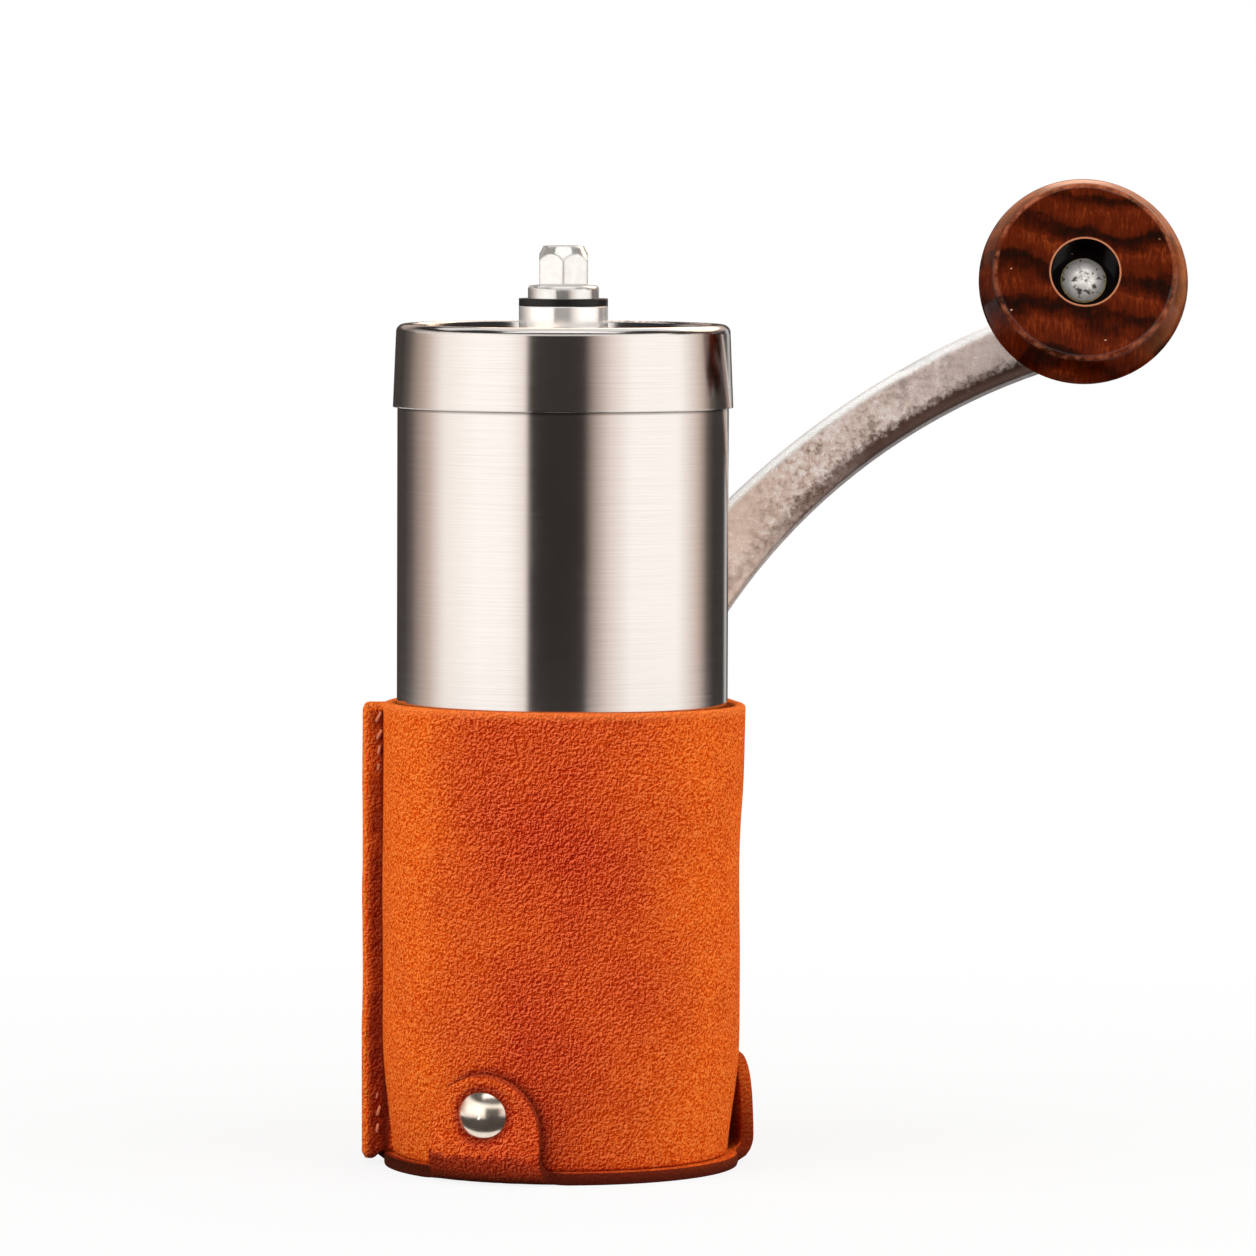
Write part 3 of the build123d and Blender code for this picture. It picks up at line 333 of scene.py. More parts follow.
def brushed_steel_material():
    """Steel with fine brushing round the body's axis, and a painted shade line under the cap's edge."""
    s = Shade("brushed_steel")
    at = s.place()
    axes = s.axes(at)
    out = s.length(s.scaled(at, (1, 1, 0)))
    along = s.plus(axes["Z"], out)
    wound = s.node("CombineXYZ", {"X": axes["X"], "Y": axes["Y"], "Z": along}).outputs[0]
    lines = s.noise(s.scaled(wound, (BRUSH_ROUND, BRUSH_ROUND, BRUSH_ACROSS)), 1.0, 4, 0.7)
    blotch = s.noise(at, 120, 2)
    colour = s.mix(s.vary(lines, 0.0, 1.0), (0.61, 0.57, 0.54), (0.70, 0.665, 0.64))
    rough = s.plus(s.vary(lines, 0.09, 0.13), s.vary(blotch, 0.0, 0.02))
    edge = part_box("cap")[0].z
    # painted shade on the tube just below the cap's edge
    under = s.math("LESS_THAN", axes["Z"], edge)
    gap_shade = s.times(under, s.span(axes["Z"], edge - CAP_SHADE_H, edge, 0.0, 0.9))
    colour = s.mix(gap_shade, colour, (0.05, 0.035, 0.03))
    neck = s.span(out, *NECK_R, 1.0, 0.0)
    colour = s.mix(neck, colour, (0.90, 0.88, 0.86))
    tangent = s.node("Tangent", {}, direction_type="RADIAL", axis="Z").outputs[0]
    return s.done(
        Base_Color=colour,
        Metallic=s.span(neck, 0.0, 1.0, 1.0, 0.6),
        Roughness=rough,
        Anisotropic=0.3,
        Tangent=tangent,
        Normal=s.bump(lines, 0.006 * MM, 0.3, s.rounded(0.3 * MM)),
    )


def plain_metal(name, grain, tones, metallic, rough, edge=None, bump=0.0):
    """Smooth metal, a little hazy, with rounded edges if a round is given."""
    s = Shade(name)
    haze = s.noise(s.place(), *grain)
    if edge:
        s.done(Normal=s.bump(haze, 0.02 * MM, bump, s.rounded(edge)))
    colour = s.mix(s.vary(haze, 0.0, 1.0), *tones)
    return s.done(Base_Color=colour, Metallic=metallic, Roughness=s.span(haze, *rough))


ARM_STOPS = [(0.39, (0.22, 0.145, 0.11)), (0.50, (0.72, 0.545, 0.47)), (0.61, (1.0, 0.92, 0.87))]
ARM_PALE_X = (36 * MM, 66 * MM)  # painted light: the arm turns paler towards the knob, against the knob's shade
ARM_BOUNCE_X = 25 * MM  # painted warm reflection of the leather where the arm lies beside the body
ARM_BOUNCE_W = (2 * MM, 9 * MM)  # and this far to both sides
ARM_EDGE_SHADE = [(0.16, 0.25), (0.30, 0.9), (0.50, 0.85), (0.61, 0.0)]  # painted shade on edges, from down to up
ARM_SHADE_W = (1.4 * MM, 2.9 * MM)  # painted shade on its side fades out this far from the lower edge
ARM_SHADE_X = (26 * MM, 46 * MM)  # and comes in between these
ARM_RAGGED = 0.7 * MM  # how far the painted shade's border strays
ARM_BRIGHT_W = (1.1 * MM, 1.8 * MM)  # painted highlight along the upper edge
CRANK_UP = (0.0, 0.2756, 0.9613)  # the crank leans back
ARM_LOWER_ARC = (102.7 * MM, 34.6 * MM)  # centre of the arm's lower edge, in the crank's plane
ARM_LOWER_R = 93.5 * MM
ARM_UPPER_ARC = (117.5 * MM, 9.3 * MM)  # and of its upper edge
ARM_UPPER_R = 131.7 * MM


def from_arc(s, at, centre):
    """Distance from the centre of one of the arm's edges."""
    across = s.minus(s.dot(at, (1, 0, 0)), centre[0])
    up = s.minus(s.dot(at, CRANK_UP), centre[1])
    return s.math("SQRT", s.plus(s.times(across, across), s.times(up, up)))


def tumbled_steel_material():
    """Cast arm tumbled to a mottled satin, with painted shade on its lower edge and painted highlight on its upper
    one; painted light at knob and body.
    """
    s = Shade("tumbled_steel")
    at = s.place()
    mottle = s.noise(at, 1050, 4, 0.75)
    patch = s.noise(at, 190, 3, 0.6)
    tone = s.plus(s.times(mottle, 0.65), s.times(patch, 0.35))
    colour = s.ramp(tone, ARM_STOPS)
    across = s.axes(at)["X"]
    # painted light towards the knob
    colour = s.mix(s.span(across, *ARM_PALE_X, 0.0, 0.6), colour, (1.0, 0.88, 0.83))
    # painted warm reflection of the leather beside the body
    beside = s.math("ABSOLUTE", s.minus(across, ARM_BOUNCE_X))
    colour = s.mix(s.span(beside, *ARM_BOUNCE_W, 0.6, 0.0), colour, (1.0, 0.78, 0.64))
    edges = s.rounded(1.6 * MM)
    upward = s.dot(edges, (0, 0, 1))
    # painted shade on edges that face down, and along the lower edge
    lower_shade = s.ramp(s.span(upward, -1.0, 1.0, 0.0, 1.0), ARM_EDGE_SHADE)
    ragged = s.vary(mottle, -ARM_RAGGED, ARM_RAGGED)
    low = s.plus(s.minus(from_arc(s, at, ARM_LOWER_ARC), ARM_LOWER_R), ragged)
    lower_shade = s.most(lower_shade, s.span(low, *ARM_SHADE_W, 0.97, 0.0))
    lower_shade = s.times(lower_shade, s.span(across, *ARM_SHADE_X, 0.35, 1.0))
    colour = s.mix(lower_shade, colour, (0.06, 0.023, 0.011))
    # painted highlight on upward edges and along the upper edge
    high = s.minus(ARM_UPPER_R, from_arc(s, at, ARM_UPPER_ARC))
    wear_and_highlight = s.span(upward, 0.40, 0.58, 0.0, 1.0)
    wear_and_highlight = s.most(wear_and_highlight, s.span(high, *ARM_BRIGHT_W, 1.0, 0.0))
    colour = s.mix(wear_and_highlight, colour, (0.90, 0.885, 0.865))
    return s.done(
        Base_Color=colour,
        Metallic=s.span(wear_and_highlight, 0.0, 1.0, 0.6, 0.75),
        Roughness=s.vary(mottle, 0.36, 0.24),
        Normal=s.bump(mottle, 0.05 * MM, 0.5, edges),
    )


PIN_STOPS = [(0.36, (0.10, 0.085, 0.075)), (0.44, (0.86, 0.83, 0.79)), (0.56, (1.0, 0.99, 0.97))]


def pin_material():
    """Domed pin, bright but pitted."""
    s = Shade("pin_steel")
    at = s.place()
    pits = s.noise(at, 800, 3, 0.65)
    colour = s.ramp(pits, PIN_STOPS)
    return s.done(
        Base_Color=colour,
        Metallic=0.3,
        Roughness=s.span(pits, 0.3, 0.6, 0.45, 0.2),
        Normal=s.bump(pits, 0.08 * MM, 0.5),
    )


KNOB_BORE_R = 5.0 * MM
KNOB_FACE_R = 13.4 * MM
BAND_PITCH = 6.4 * MM  # from one dark band of the wood to the next
BAND_BEND = 13 * MM  # how far the bands stray
BAND_SLANT = 0.14
BAND_STOPS = [(0.0, 0.0), (0.16, 0.7), (0.55, 1.0), (0.94, 0.0)]
WOOD_STOPS = [
    (0.26, (0.006, 0.002, 0.001)),
    (0.52, (0.026, 0.003, 0.0005)),
    (0.78, (0.080, 0.0095, 0.0015)),
    (0.98, (0.21, 0.037, 0.008)),
]
LIP_STOPS = [(0.50, 0.0), (0.53, 0.8), (0.60, 0.6), (0.68, 0.0)]  # paler edge of the bore
FACE_STOPS = [(0.18, 0.0), (0.30, 0.95), (0.46, 0.95), (0.58, 0.0)]  # and of the face


def wood_material():
    """Dark red wood with wavy bands across the knob's face, under clear lacquer; painted light on its shoulder's
    upper right and painted shade in its bore.
    """
    s = Shade("knob_wood")
    hinge = next(j for j in frame["joints"] if j["name"] == "knob_turn")
    axis = Vector(hinge["axis"])
    rise = Vector((1, 0, 0)).cross(axis) * -1
    at = s.shifted(s.place(), [-x for x in hinge["pos_m"]])
    right = s.dot(at, (1, 0, 0))
    up = s.dot(at, tuple(rise))
    depth = s.dot(at, tuple(axis))
    local = s.node("CombineXYZ", {"X": right, "Y": up, "Z": depth}).outputs[0]
    drift = s.noise(s.scaled(local, (70, 95, 25)), 1.0, 4, 0.6)
    bend = s.times(s.minus(drift, 0.5), BAND_BEND)
    slant = s.times(right, BAND_SLANT)
    rings = s.plus(s.plus(up, bend), slant)
    phase = s.math("FRACT", s.times(rings, 1 / BAND_PITCH))
    band = s.ramp(phase, BAND_STOPS)
    faint = s.span(s.noise(s.scaled(local, (120, 160, 40)), 1.0, 2), 0.45, 0.66, 0.0, 0.6)
    band = s.mix(faint, band, (0.8, 0.8, 0.8))
    fibre = s.noise(s.scaled(local, (2400, 480, 150)), 1.0, 4, 0.7)
    tone = s.plus(s.times(band, 0.5), s.times(fibre, 0.65))
    colour = s.ramp(tone, WOOD_STOPS)
    from_axis = s.length(s.scaled(local, (1, 1, 0)))
    ends = [(v.co - Vector(hinge["pos_m"])).dot(axis) for v in nodes["knob"].data.vertices]
    face = max(ends) if axis.y < 0 else min(ends)
    behind = s.math("ABSOLUTE", s.minus(depth, face))
    near_face = s.span(behind, 3.2 * MM, 5.4 * MM, 1.0, 0.0)
    near_face = s.times(near_face, s.span(s.noise(local, 260, 3, 0.65), 0.36, 0.6, 0.5, 1.0))
    # painted light: the shoulder beside the face turns paler, most on its upper right
    rim = s.span(from_axis, KNOB_FACE_R - 0.7 * MM, KNOB_FACE_R + 1.2 * MM, 0.0, 0.75)
    rim = s.times(rim, near_face)
    lit_side = s.span(s.plus(up, s.times(right, 0.6)), -9 * MM, 12 * MM, 0.0, 1.0)
    colour = s.mix(s.times(rim, lit_side), colour, (0.46, 0.155, 0.06))
    lip = s.ramp(s.span(from_axis, 4 * MM, 6 * MM, 0.0, 1.0), LIP_STOPS)
    colour = s.mix(lip, colour, (0.62, 0.25, 0.13))
    worn = s.ramp(s.span(from_axis, KNOB_FACE_R - 1 * MM, KNOB_FACE_R + 1 * MM, 0.0, 1.0), FACE_STOPS)
    worn = s.times(worn, s.span(behind, 0.8 * MM, 1.6 * MM, 1.0, 0.0))
    chipped = s.span(s.noise(local, 620, 3, 0.6), 0.42, 0.62, 0.05, 0.5)
    colour = s.mix(s.times(worn, chipped), colour, (0.42, 0.13, 0.065))
    # painted shade inside the bore
    bore = s.span(from_axis, KNOB_BORE_R, KNOB_BORE_R + 0.1 * MM, 0.97, 0.0)
    colour = s.mix(bore, colour, (0.002, 0.001, 0.001))
    nick = s.span(s.noise(s.scaled(local, (420, 640, 420)), 1.0, 2, 0.5), 0.735, 0.76, 0.0, 0.8)
    colour = s.mix(nick, colour, (0.55, 0.30, 0.22))
    shoulder = s.span(from_axis, KNOB_FACE_R - 0.4 * MM, KNOB_FACE_R + 0.4 * MM, 0.0, 1.0)
    # lacquer rubbed thin on the lower shoulder and at the face's worn edge
    wear_and_highlight = s.times(shoulder, s.span(up, -9 * MM, -2 * MM, 0.97, 0.5))
    wear_and_highlight = s.times(wear_and_highlight, s.span(behind, 6 * MM, 9 * MM, 1.0, 0.0))
    wear_and_highlight = s.most(wear_and_highlight, worn)
    return s.done(
        Base_Color=colour,
        Roughness=0.45,
        Normal=s.bump(fibre, 0.02 * MM, 0.2),
        Specular_IOR_Level=0.0,
        Coat_Weight=s.minus(1.0, wear_and_highlight),
        Coat_Roughness=0.10,
        Coat_IOR=1.42,
    )


def plastic_material():
    """Black moulded plastic with a fine spark-eroded texture."""
    s = Shade("black_plastic")
    at = s.place()
    grain = s.noise(at, 3800, 2, 0.6)
    cloud = s.noise(at, 160, 2)
    colour = s.mix(cloud, (0.006, 0.006, 0.006), (0.014, 0.013, 0.013))
    return s.done(
        Base_Color=colour,
        Roughness=s.vary(grain, 0.26, 0.36),
        Normal=s.bump(grain, 0.01 * MM, 0.3, s.rounded(0.4 * MM)),
        Specular_IOR_Level=0.22,
    )


def ceramic_material():
    """Fired unglazed ceramic, chalky with fine specks."""
    s = Shade("burr_ceramic")
    at = s.place()
    chalk = s.noise(at, 1400, 4, 0.6)
    specks = s.noise(at, 5200, 1)
    colour = s.mix(s.vary(chalk, 0.0, 1.0), (0.74, 0.72, 0.67), (0.86, 0.85, 0.81))
    colour = s.mix(s.span(specks, 0.66, 0.74, 0.0, 0.5), colour, (0.45, 0.40, 0.33))
    return s.done(Base_Color=colour, Roughness=0.62, Normal=s.bump(chalk, 0.05 * MM, 0.4))


def thread_material():
    """Waxed sewing thread."""
    s = Shade("thread")
    at = s.place()
    twist = s.noise(s.scaled(at, (3000, 3000, 5200)), 1.0, 2)
    colour = s.mix(twist, (0.46, 0.11, 0.05), (0.72, 0.27, 0.15))
    return s.done(Base_Color=colour, Roughness=0.55, Normal=s.bump(twist, 0.06 * MM, 0.6))


suede = suede_material("suede")
suede_ears = suede_material("suede_ears", kept=0.3)
suede_edge = suede_material("suede_edge", cut_edge=True)
thread = thread_material()
slot_materials = {
    "suede": suede,
    "steel": brushed_steel_material(),
    "polished_steel": plain_metal(
        "polished_steel",
        grain=(700, 4, 0.65),
        tones=((0.62, 0.595, 0.565), (0.69, 0.665, 0.635)),
        metallic=1.0,
        rough=(0.35, 0.7, 0.05, 0.11),
        edge=0.35 * MM,
        bump=0.2,
    ),
    "cast_steel": tumbled_steel_material(),
    "black_plastic": plastic_material(),
    "burr_ceramic": ceramic_material(),
    "brass": plain_metal(
        "brass",
        grain=(900, 4, 0.6),
        tones=((0.58, 0.41, 0.16), (0.78, 0.60, 0.29)),
        metallic=1.0,
        rough=(*NOISE_SPAN, 0.22, 0.38),
    ),
    "knob_wood": wood_material(),
}
for part in frame["record"]["subparts"]:
    obj = nodes[part["node"]]
    obj.data.materials.clear()
    obj.data.materials.append(slot_materials[part["material_slot"]])
nodes["knob_pin"].data.materials[0] = pin_material()
nodes["rivet_caps"].data.materials[0] = plain_metal(
    "rivet_nickel",
    grain=(420, 3, 0.6),
    tones=((0.84, 0.71, 0.58), (0.96, 0.86, 0.75)),
    metallic=0.94,
    rough=(*NOISE_SPAN, 0.14, 0.22),
)
nodes["drive_head"].data.materials[0] = plain_metal(
    "head_nickel",
    grain=(900, 3, 0.6),
    tones=((0.66, 0.645, 0.62), (0.76, 0.745, 0.72)),
    metallic=0.72,
    rough=(0.35, 0.7, 0.08, 0.16),
    edge=0.6 * MM,
    bump=0.15,
)


# Leather wall: one sheet round the body, its two ends turned out into the fin
SEAM_INSET = 2.5 * MM  # seam line, from the fin's edge
CREASE_AT = 3.3 * MM  # darkest line of the painted shade in the crease, from the fin's edge
WALL_TURNS = 360
WALL_ROWS = 84
WALL_POINTS = 330  # along the sheet between the creases
SMOOTH_TURN = 4.0  # softening of the CAD wall's shape round the body, degrees
SMOOTH_RISE = 3.0 * MM  # and up the wall
FIN_HIDES = math.radians(8)  # the CAD fin covers the wall this far to each side
BESIDE_FIN = math.radians(9)  # so its radius there is taken from here
SWELL = 0.55 * MM  # the leather stands off at the upper right
SWELL_Z = 53 * MM
SWELL_H = 2.2 * MM
WAIST = 0.22 * MM  # and lies closer below
WAIST_Z = 43 * MM
WAIST_H = 8 * MM
SIDE_TURN = math.radians(38)  # reach of both, round the body
WAVE = 0.14 * MM  # shallow waves of the whole wall
WAVE_H = 17 * MM
WAVE_ROUND = 1.6
FIN_STEPS = 9  # points across the fin, and round its bend
SEAM_W = 0.6 * MM  # the seam presses the leather over this width
SEAM_PRESS = 0.35
FIN_LOOSE = (2.7 * MM, 0.9 * MM)  # part of the fin that hangs, and width of the step to the wall
TOP_WAVE = 0.2 * MM  # unevenness of the top edge
TOP_WAVE_L = 19 * MM
CREASE_W = 0.95 * MM  # width of the painted shade line in the crease
FACE_SHADE_FROM = (0.5 * MM, 0.9 * MM)  # painted shade on the fin's face starts here, and width of the step
FACE_SHADE_FADES = 0.8 * MM  # that painted shade fades out this far beyond the crease
BLOTCH_H = (2.2 * MM, 0.8 * MM)  # its large and small blotches
FIN_EDGE_W = 0.6 * MM  # painted highlight on the fin's cut edge, brighter higher up
RAGGED_H = 6 * MM  # how fast that edge strays


def apart(turns, other=0.0):
    """Angles from one direction to others, within half a turn."""
    return np.angle(np.exp(1j * (turns - other)))


def bell(distance, width):
    """1 at no distance, falling off smoothly over a width."""
    return np.exp(-((distance / width) ** 2))


def gaussian(sigma):
    """Weights of a blur, for a width in samples."""
    reach = max(1, int(3 * sigma))
    weights = np.exp(-0.5 * (np.arange(-reach, reach + 1) / sigma) ** 2)
    return weights / weights.sum()


def wall_radii(foot, top):
    """Outside radius of the CAD wall on a grid of heights and directions, softened like leather."""
    mesh = nodes["sleeve_wall"].data
    tree = BVHTree.FromPolygons([v.co for v in mesh.vertices], [p.vertices[:] for p in mesh.polygons])
    turns = np.linspace(0, 2 * np.pi, WALL_TURNS, endpoint=False)
    heights = np.linspace(foot, top, WALL_ROWS)
    inside = np.clip(heights, foot + 0.05 * MM, top - 0.05 * MM)
    radii = np.zeros((WALL_ROWS, WALL_TURNS))
    for row, height in enumerate(inside):
        for column, turn in enumerate(turns):
            reach = Vector((math.cos(turn), math.sin(turn), 0))
            hit = tree.ray_cast(reach * 0.2 + Vector((0, 0, height)), -reach)
            radii[row, column] = hit[0].xy.length
    away = np.abs(turns - FIN_TURN)
    near_fin = away < FIN_HIDES
    beside_fin = int(np.argmin(np.abs(away - BESIDE_FIN)))
    radii[:, near_fin] = radii[:, beside_fin : beside_fin + 1]
    blur = gaussian(SMOOTH_TURN * WALL_TURNS / 360)
    reach = len(blur) // 2
    wrapped = np.concatenate([radii[:, -reach:], radii, radii[:, :reach]], axis=1)
    radii = np.array([np.convolve(row, blur, "valid") for row in wrapped])
    blur = gaussian(SMOOTH_RISE / (top - foot) * WALL_ROWS)
    reach = len(blur) // 2
    padded = np.pad(radii, ((reach, reach), (0, 0)), mode="edge")
    return turns, heights, np.array([np.convolve(c, blur, "valid") for c in padded.T]).T


def hang(turns, heights, radii):
    """How far the leather stands off its even shape: a swell at the upper right, a waist below it."""
    turn, height = np.meshgrid(turns, heights)
    right = bell(apart(turn), SIDE_TURN)
    swell = SWELL / (1 + np.exp(-(height - SWELL_Z) / SWELL_H))
    waist = -WAIST * bell(height - WAIST_Z, WAIST_H)
    around = [(math.cos(t) * WAVE_ROUND, math.sin(t) * WAVE_ROUND) for t in turns]
    waves = np.array([[noise.noise((x, y, h / WAVE_H)) for x, y in around] for h in heights])
    return radii + right * (swell + waist) + WAVE * waves


def sheet_path(turns, radii_row, tip_x):
    """Middle line of the leather at one height, from the fin's front tip round to its back tip."""
    half_fin = FIN_SLIT / 2 + LEATHER / 2
    radius = np.interp(FIN_TURN + 0.1, turns, radii_row) - LEATHER / 2
    crease_y = half_fin + FIN_CREASE_R
    crease_x = -math.sqrt((radius + FIN_CREASE_R) ** 2 - crease_y**2)
    touch = math.atan2(crease_y, -crease_x)
    fin = [(x, -half_fin) for x in np.linspace(tip_x, crease_x, FIN_STEPS, endpoint=False)]
    crease = [
        (crease_x + FIN_CREASE_R * math.cos(a), -crease_y + FIN_CREASE_R * math.sin(a))
        for a in np.linspace(math.pi / 2, touch, FIN_STEPS, endpoint=False)
    ]
    around = np.linspace(FIN_TURN + touch, FIN_TURN + 2 * np.pi - touch, WALL_POINTS)
    middle = np.interp(around % (2 * np.pi), turns, radii_row, period=2 * np.pi) - LEATHER / 2
    wall = list(zip(middle * np.cos(around), middle * np.sin(around)))
    front = fin + crease
    return np.array(front + wall + [(x, -y) for x, y in reversed(front)])


def leather_profile(foot, top):
    """Closed loop across the leather: offset from its middle and height, with rounded edges."""
    half = LEATHER / 2
    corner = half - RIM_ROUND
    quarter = np.linspace(0, math.pi / 2, 4)
    rows = np.linspace(foot + RIM_ROUND, top - RIM_ROUND, WALL_ROWS)
    outer = [(half, z) for z in rows]
    bend = [(RIM_ROUND * math.cos(a), RIM_ROUND * math.sin(a)) for a in quarter[1:]]
    over = [(corner + o, top - RIM_ROUND + z) for o, z in bend]
    over += [(-o, z) for o, z in reversed(over)]
    under = [(o, foot + top - z) for o, z in over]
    inner = [(-half, z) for z in reversed(rows)]
    return outer + over + inner + list(reversed(under))


def sheet_frame(path):
    """Outward directions of a path, and lengths along it."""
    along = np.gradient(path, axis=0)
    along /= np.linalg.norm(along, axis=1)[:, None]
    outward = np.stack([along[:, 1], -along[:, 0]], axis=1)
    steps = np.linalg.norm(np.diff(path, axis=0), axis=1)
    return outward, np.concatenate([[0], np.cumsum(steps)])


def sheet_thinning(from_tip):
    """Share of the leather's thickness that is left at the fin's edge and in its seam."""
    end = np.clip(from_tip / RIM_ROUND, 0, 1)
    thin = 1 - RIM_ROUND / LEATHER * 2 * (1 - np.sqrt(1 - (1 - end) ** 2))
    return thin * (1 - SEAM_PRESS * bell(from_tip - SEAM_INSET, SEAM_W))


def sheet_rise(from_tip, run, foot, top, share):
    """Heights along the sheet, at a share of the way from its foot to its uneven top edge."""
    cut = np.clip(1 - from_tip / FIN_CORNER_R, 0, 1)
    corner = FIN_CORNER_R * (1 - np.sqrt(1 - cut**2))
    hanging = np.clip((FIN_LOOSE[0] - from_tip) / FIN_LOOSE[1], 0, 1)
    column_foot = foot - FIN_HANGS * hanging + corner
    column_top = top - corner + TOP_WAVE * np.sin(run / TOP_WAVE_L) - TOP_WAVE
    return column_foot + share * (column_top - column_foot)


def fin_shade(from_tip, z, share):
    """Painted shade on the fin's face, darker lower down, and in the groove beside it."""
    face = np.clip((CREASE_AT - from_tip) / FACE_SHADE_FADES + 1, 0, 1)
    face *= np.clip((from_tip - FACE_SHADE_FROM[0]) / FACE_SHADE_FROM[1], 0, 1)
    blotch = noise.noise((7.7, 2.1, z / BLOTCH_H[0])) + 0.6 * noise.noise((1.2, 5.3, z / BLOTCH_H[1]))
    face *= 0.62 - 0.22 * share + 0.2 * blotch
    return np.maximum(face, 0.95 * bell(from_tip - CREASE_AT, CREASE_W))


def build_wall():
    """The wall with its fin; its painted shade at the crease, fin face and ears, and its painted highlight on cut
    edges, are kept on its points.
    """
    low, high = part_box("sleeve_wall")
    foot, top = low.z, high.z
    turns, heights, radii = wall_radii(foot, top)
    radii = hang(turns, heights, radii)
    ears, ear_top = rivet_spots(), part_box("sleeve_base")[1].z
    rows, shade, lengths = [], [], []
    for offset, z in leather_profile(foot, top):
        radii_row = np.array([np.interp(z, heights, radii[:, c]) for c in range(WALL_TURNS)])
        ragged = FIN_RAGGED * (0.5 + 0.5 * noise.noise((3.1, 0.4, z / RAGGED_H)))
        path = sheet_path(turns, radii_row, low.x + ragged)
        outward, run = sheet_frame(path)
        lengths.append(run[-1])
        from_tip = np.minimum(run, run[-1] - run)
        share = (z - foot) / (top - foot)
        rise = sheet_rise(from_tip, run, foot, top, share)
        spot = path + outward * (offset * sheet_thinning(from_tip))[:, None]
        rows.append(np.column_stack([spot, rise]))
        dark = np.maximum(fin_shade(from_tip, z, share), ear_shade(spot, rise, ears, ear_top))
        # painted highlight on the fin's cut edge and along the top edge, stored below zero
        fin_edge = (0.2 + 0.7 * share) * (from_tip < FIN_EDGE_W)
        pale = np.maximum(float(z > top - RIM_ROUND * 1.01), fin_edge)
        shade.append(np.where(pale > dark, -pale, dark))
    grid = np.stack(rows, axis=1)
    wall = mesh_object("leather_wall", grid.reshape(-1, 3), closed_tube_faces(*grid.shape[:2]))
    # the crease attribute holds painted shade, and painted highlight below zero
    crease = wall.data.attributes.new("crease", "FLOAT", "POINT")
    crease.data.foreach_set("value", np.stack(shade, axis=1).ravel())
    wall.data.materials.append(suede)
    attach(wall, "sleeve")
    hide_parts("sleeve_wall")
    return wall, (float(np.mean(lengths)), top - foot)


# Leather base: a disc with three ears bent up the wall, where rivets pinch them
BASE_R = 25.7 * MM
BEND_START = 24.4 * MM  # an ear leaves the floor here
EAR_REACH = BEND_START + EAR_BEND_R
EAR_BEND_MARGIN = 3 * MM  # the mesh is fine from this far inside the bend
EAR_CAP_SINK = 0.25 * MM  # how far a rivet cap presses into the leather
PINCH_W = 5.4 * MM
PINCH_H = 4.3 * MM
BULGE = 0.32 * MM  # leather swells out below the rivet
BULGE_Z = 4.7 * MM
BULGE_H = 2 * MM
EDGE_WEAR = 0.4 * MM  # round of the base's cut edges
SHADOW_W = 0.7 * MM  # width of the painted shade beside ears and rivets
RIM_SHADE_W = 1.5 * MM  # painted shade on the base's rim
RIM_SHADE_TURN = math.radians(80)  # and how far it reaches round from the fin
COARSE = 3  # the base's mesh is this much coarser away from its bends


def rivet_spots():
    """Direction, seat radius and height of each rivet cap."""
    points = np.array([v.co for v in nodes["rivet_caps"].data.vertices])
    turns = np.arctan2(points[:, 1], points[:, 0])
    free = np.ones(len(points), dtype=bool)
    spots = []
    while free.any():
        between = np.abs(apart(turns, turns[free][0]))
        near = free & (between < math.radians(40))
        centre = (points[near].min(axis=0) + points[near].max(axis=0)) / 2
        turn = math.atan2(centre[1], centre[0])
        seat = (points[near, :2] @ np.array([math.cos(turn), math.sin(turn)])).min()
        spots.append((turn, seat, centre[2]))
        free &= ~near
    return sorted(spots)


def run_at(z):
    """Length along the bent leather, from the axis out, at a height of its middle."""
    lift = z - BASE_LEATHER / 2
    if lift < EAR_BEND_R:
        return BEND_START + EAR_BEND_R * math.acos(1 - max(lift, 0) / EAR_BEND_R)
    return BEND_START + EAR_BEND_R * math.pi / 2 + lift - EAR_BEND_R


def height_at(run):
    """Height of the bent leather's middle at a length along it."""
    turn = np.clip((run - BEND_START) / EAR_BEND_R, 0, math.pi / 2)
    straight = np.maximum(0, run - BEND_START - EAR_BEND_R * math.pi / 2)
    return BASE_LEATHER / 2 + EAR_BEND_R * (1 - np.cos(turn)) + straight


def ear_half_width(z, top):
    """Half the width of an ear: flared foot, straight sides, round top."""
    if z < EAR_FLARE:
        return EAR_HALF_W + EAR_FLARE - math.sqrt(EAR_FLARE**2 - (EAR_FLARE - z) ** 2)
    over = z - (top - EAR_HALF_W)
    if over < 0:
        return EAR_HALF_W
    return math.sqrt(max(0, EAR_HALF_W**2 - over**2))


def ear_shade(spot, rise, ears, top):
    """Painted shade on the wall where an ear's edge lies on it."""
    dark = np.zeros(len(rise))
    turn = np.arctan2(spot[:, 1], spot[:, 0])
    for ear_turn, _, _ in ears:
        across = np.abs(apart(turn, ear_turn)) * EAR_REACH
        beside = across - np.array([ear_half_width(z, top) for z in np.minimum(rise, top - EAR_HALF_W)])
        above = np.hypot(across, rise - (top - EAR_HALF_W)) - EAR_HALF_W
        away = np.where(rise < top - EAR_HALF_W, beside, above)
        dark = np.maximum(dark, 0.6 * bell(np.maximum(away, 0), SHADOW_W))
    return dark


def flat_point(turn, across, run):
    """Point of the flat leather, as cut."""
    at = turn + across / EAR_REACH
    return (run * math.cos(at), run * math.sin(at))


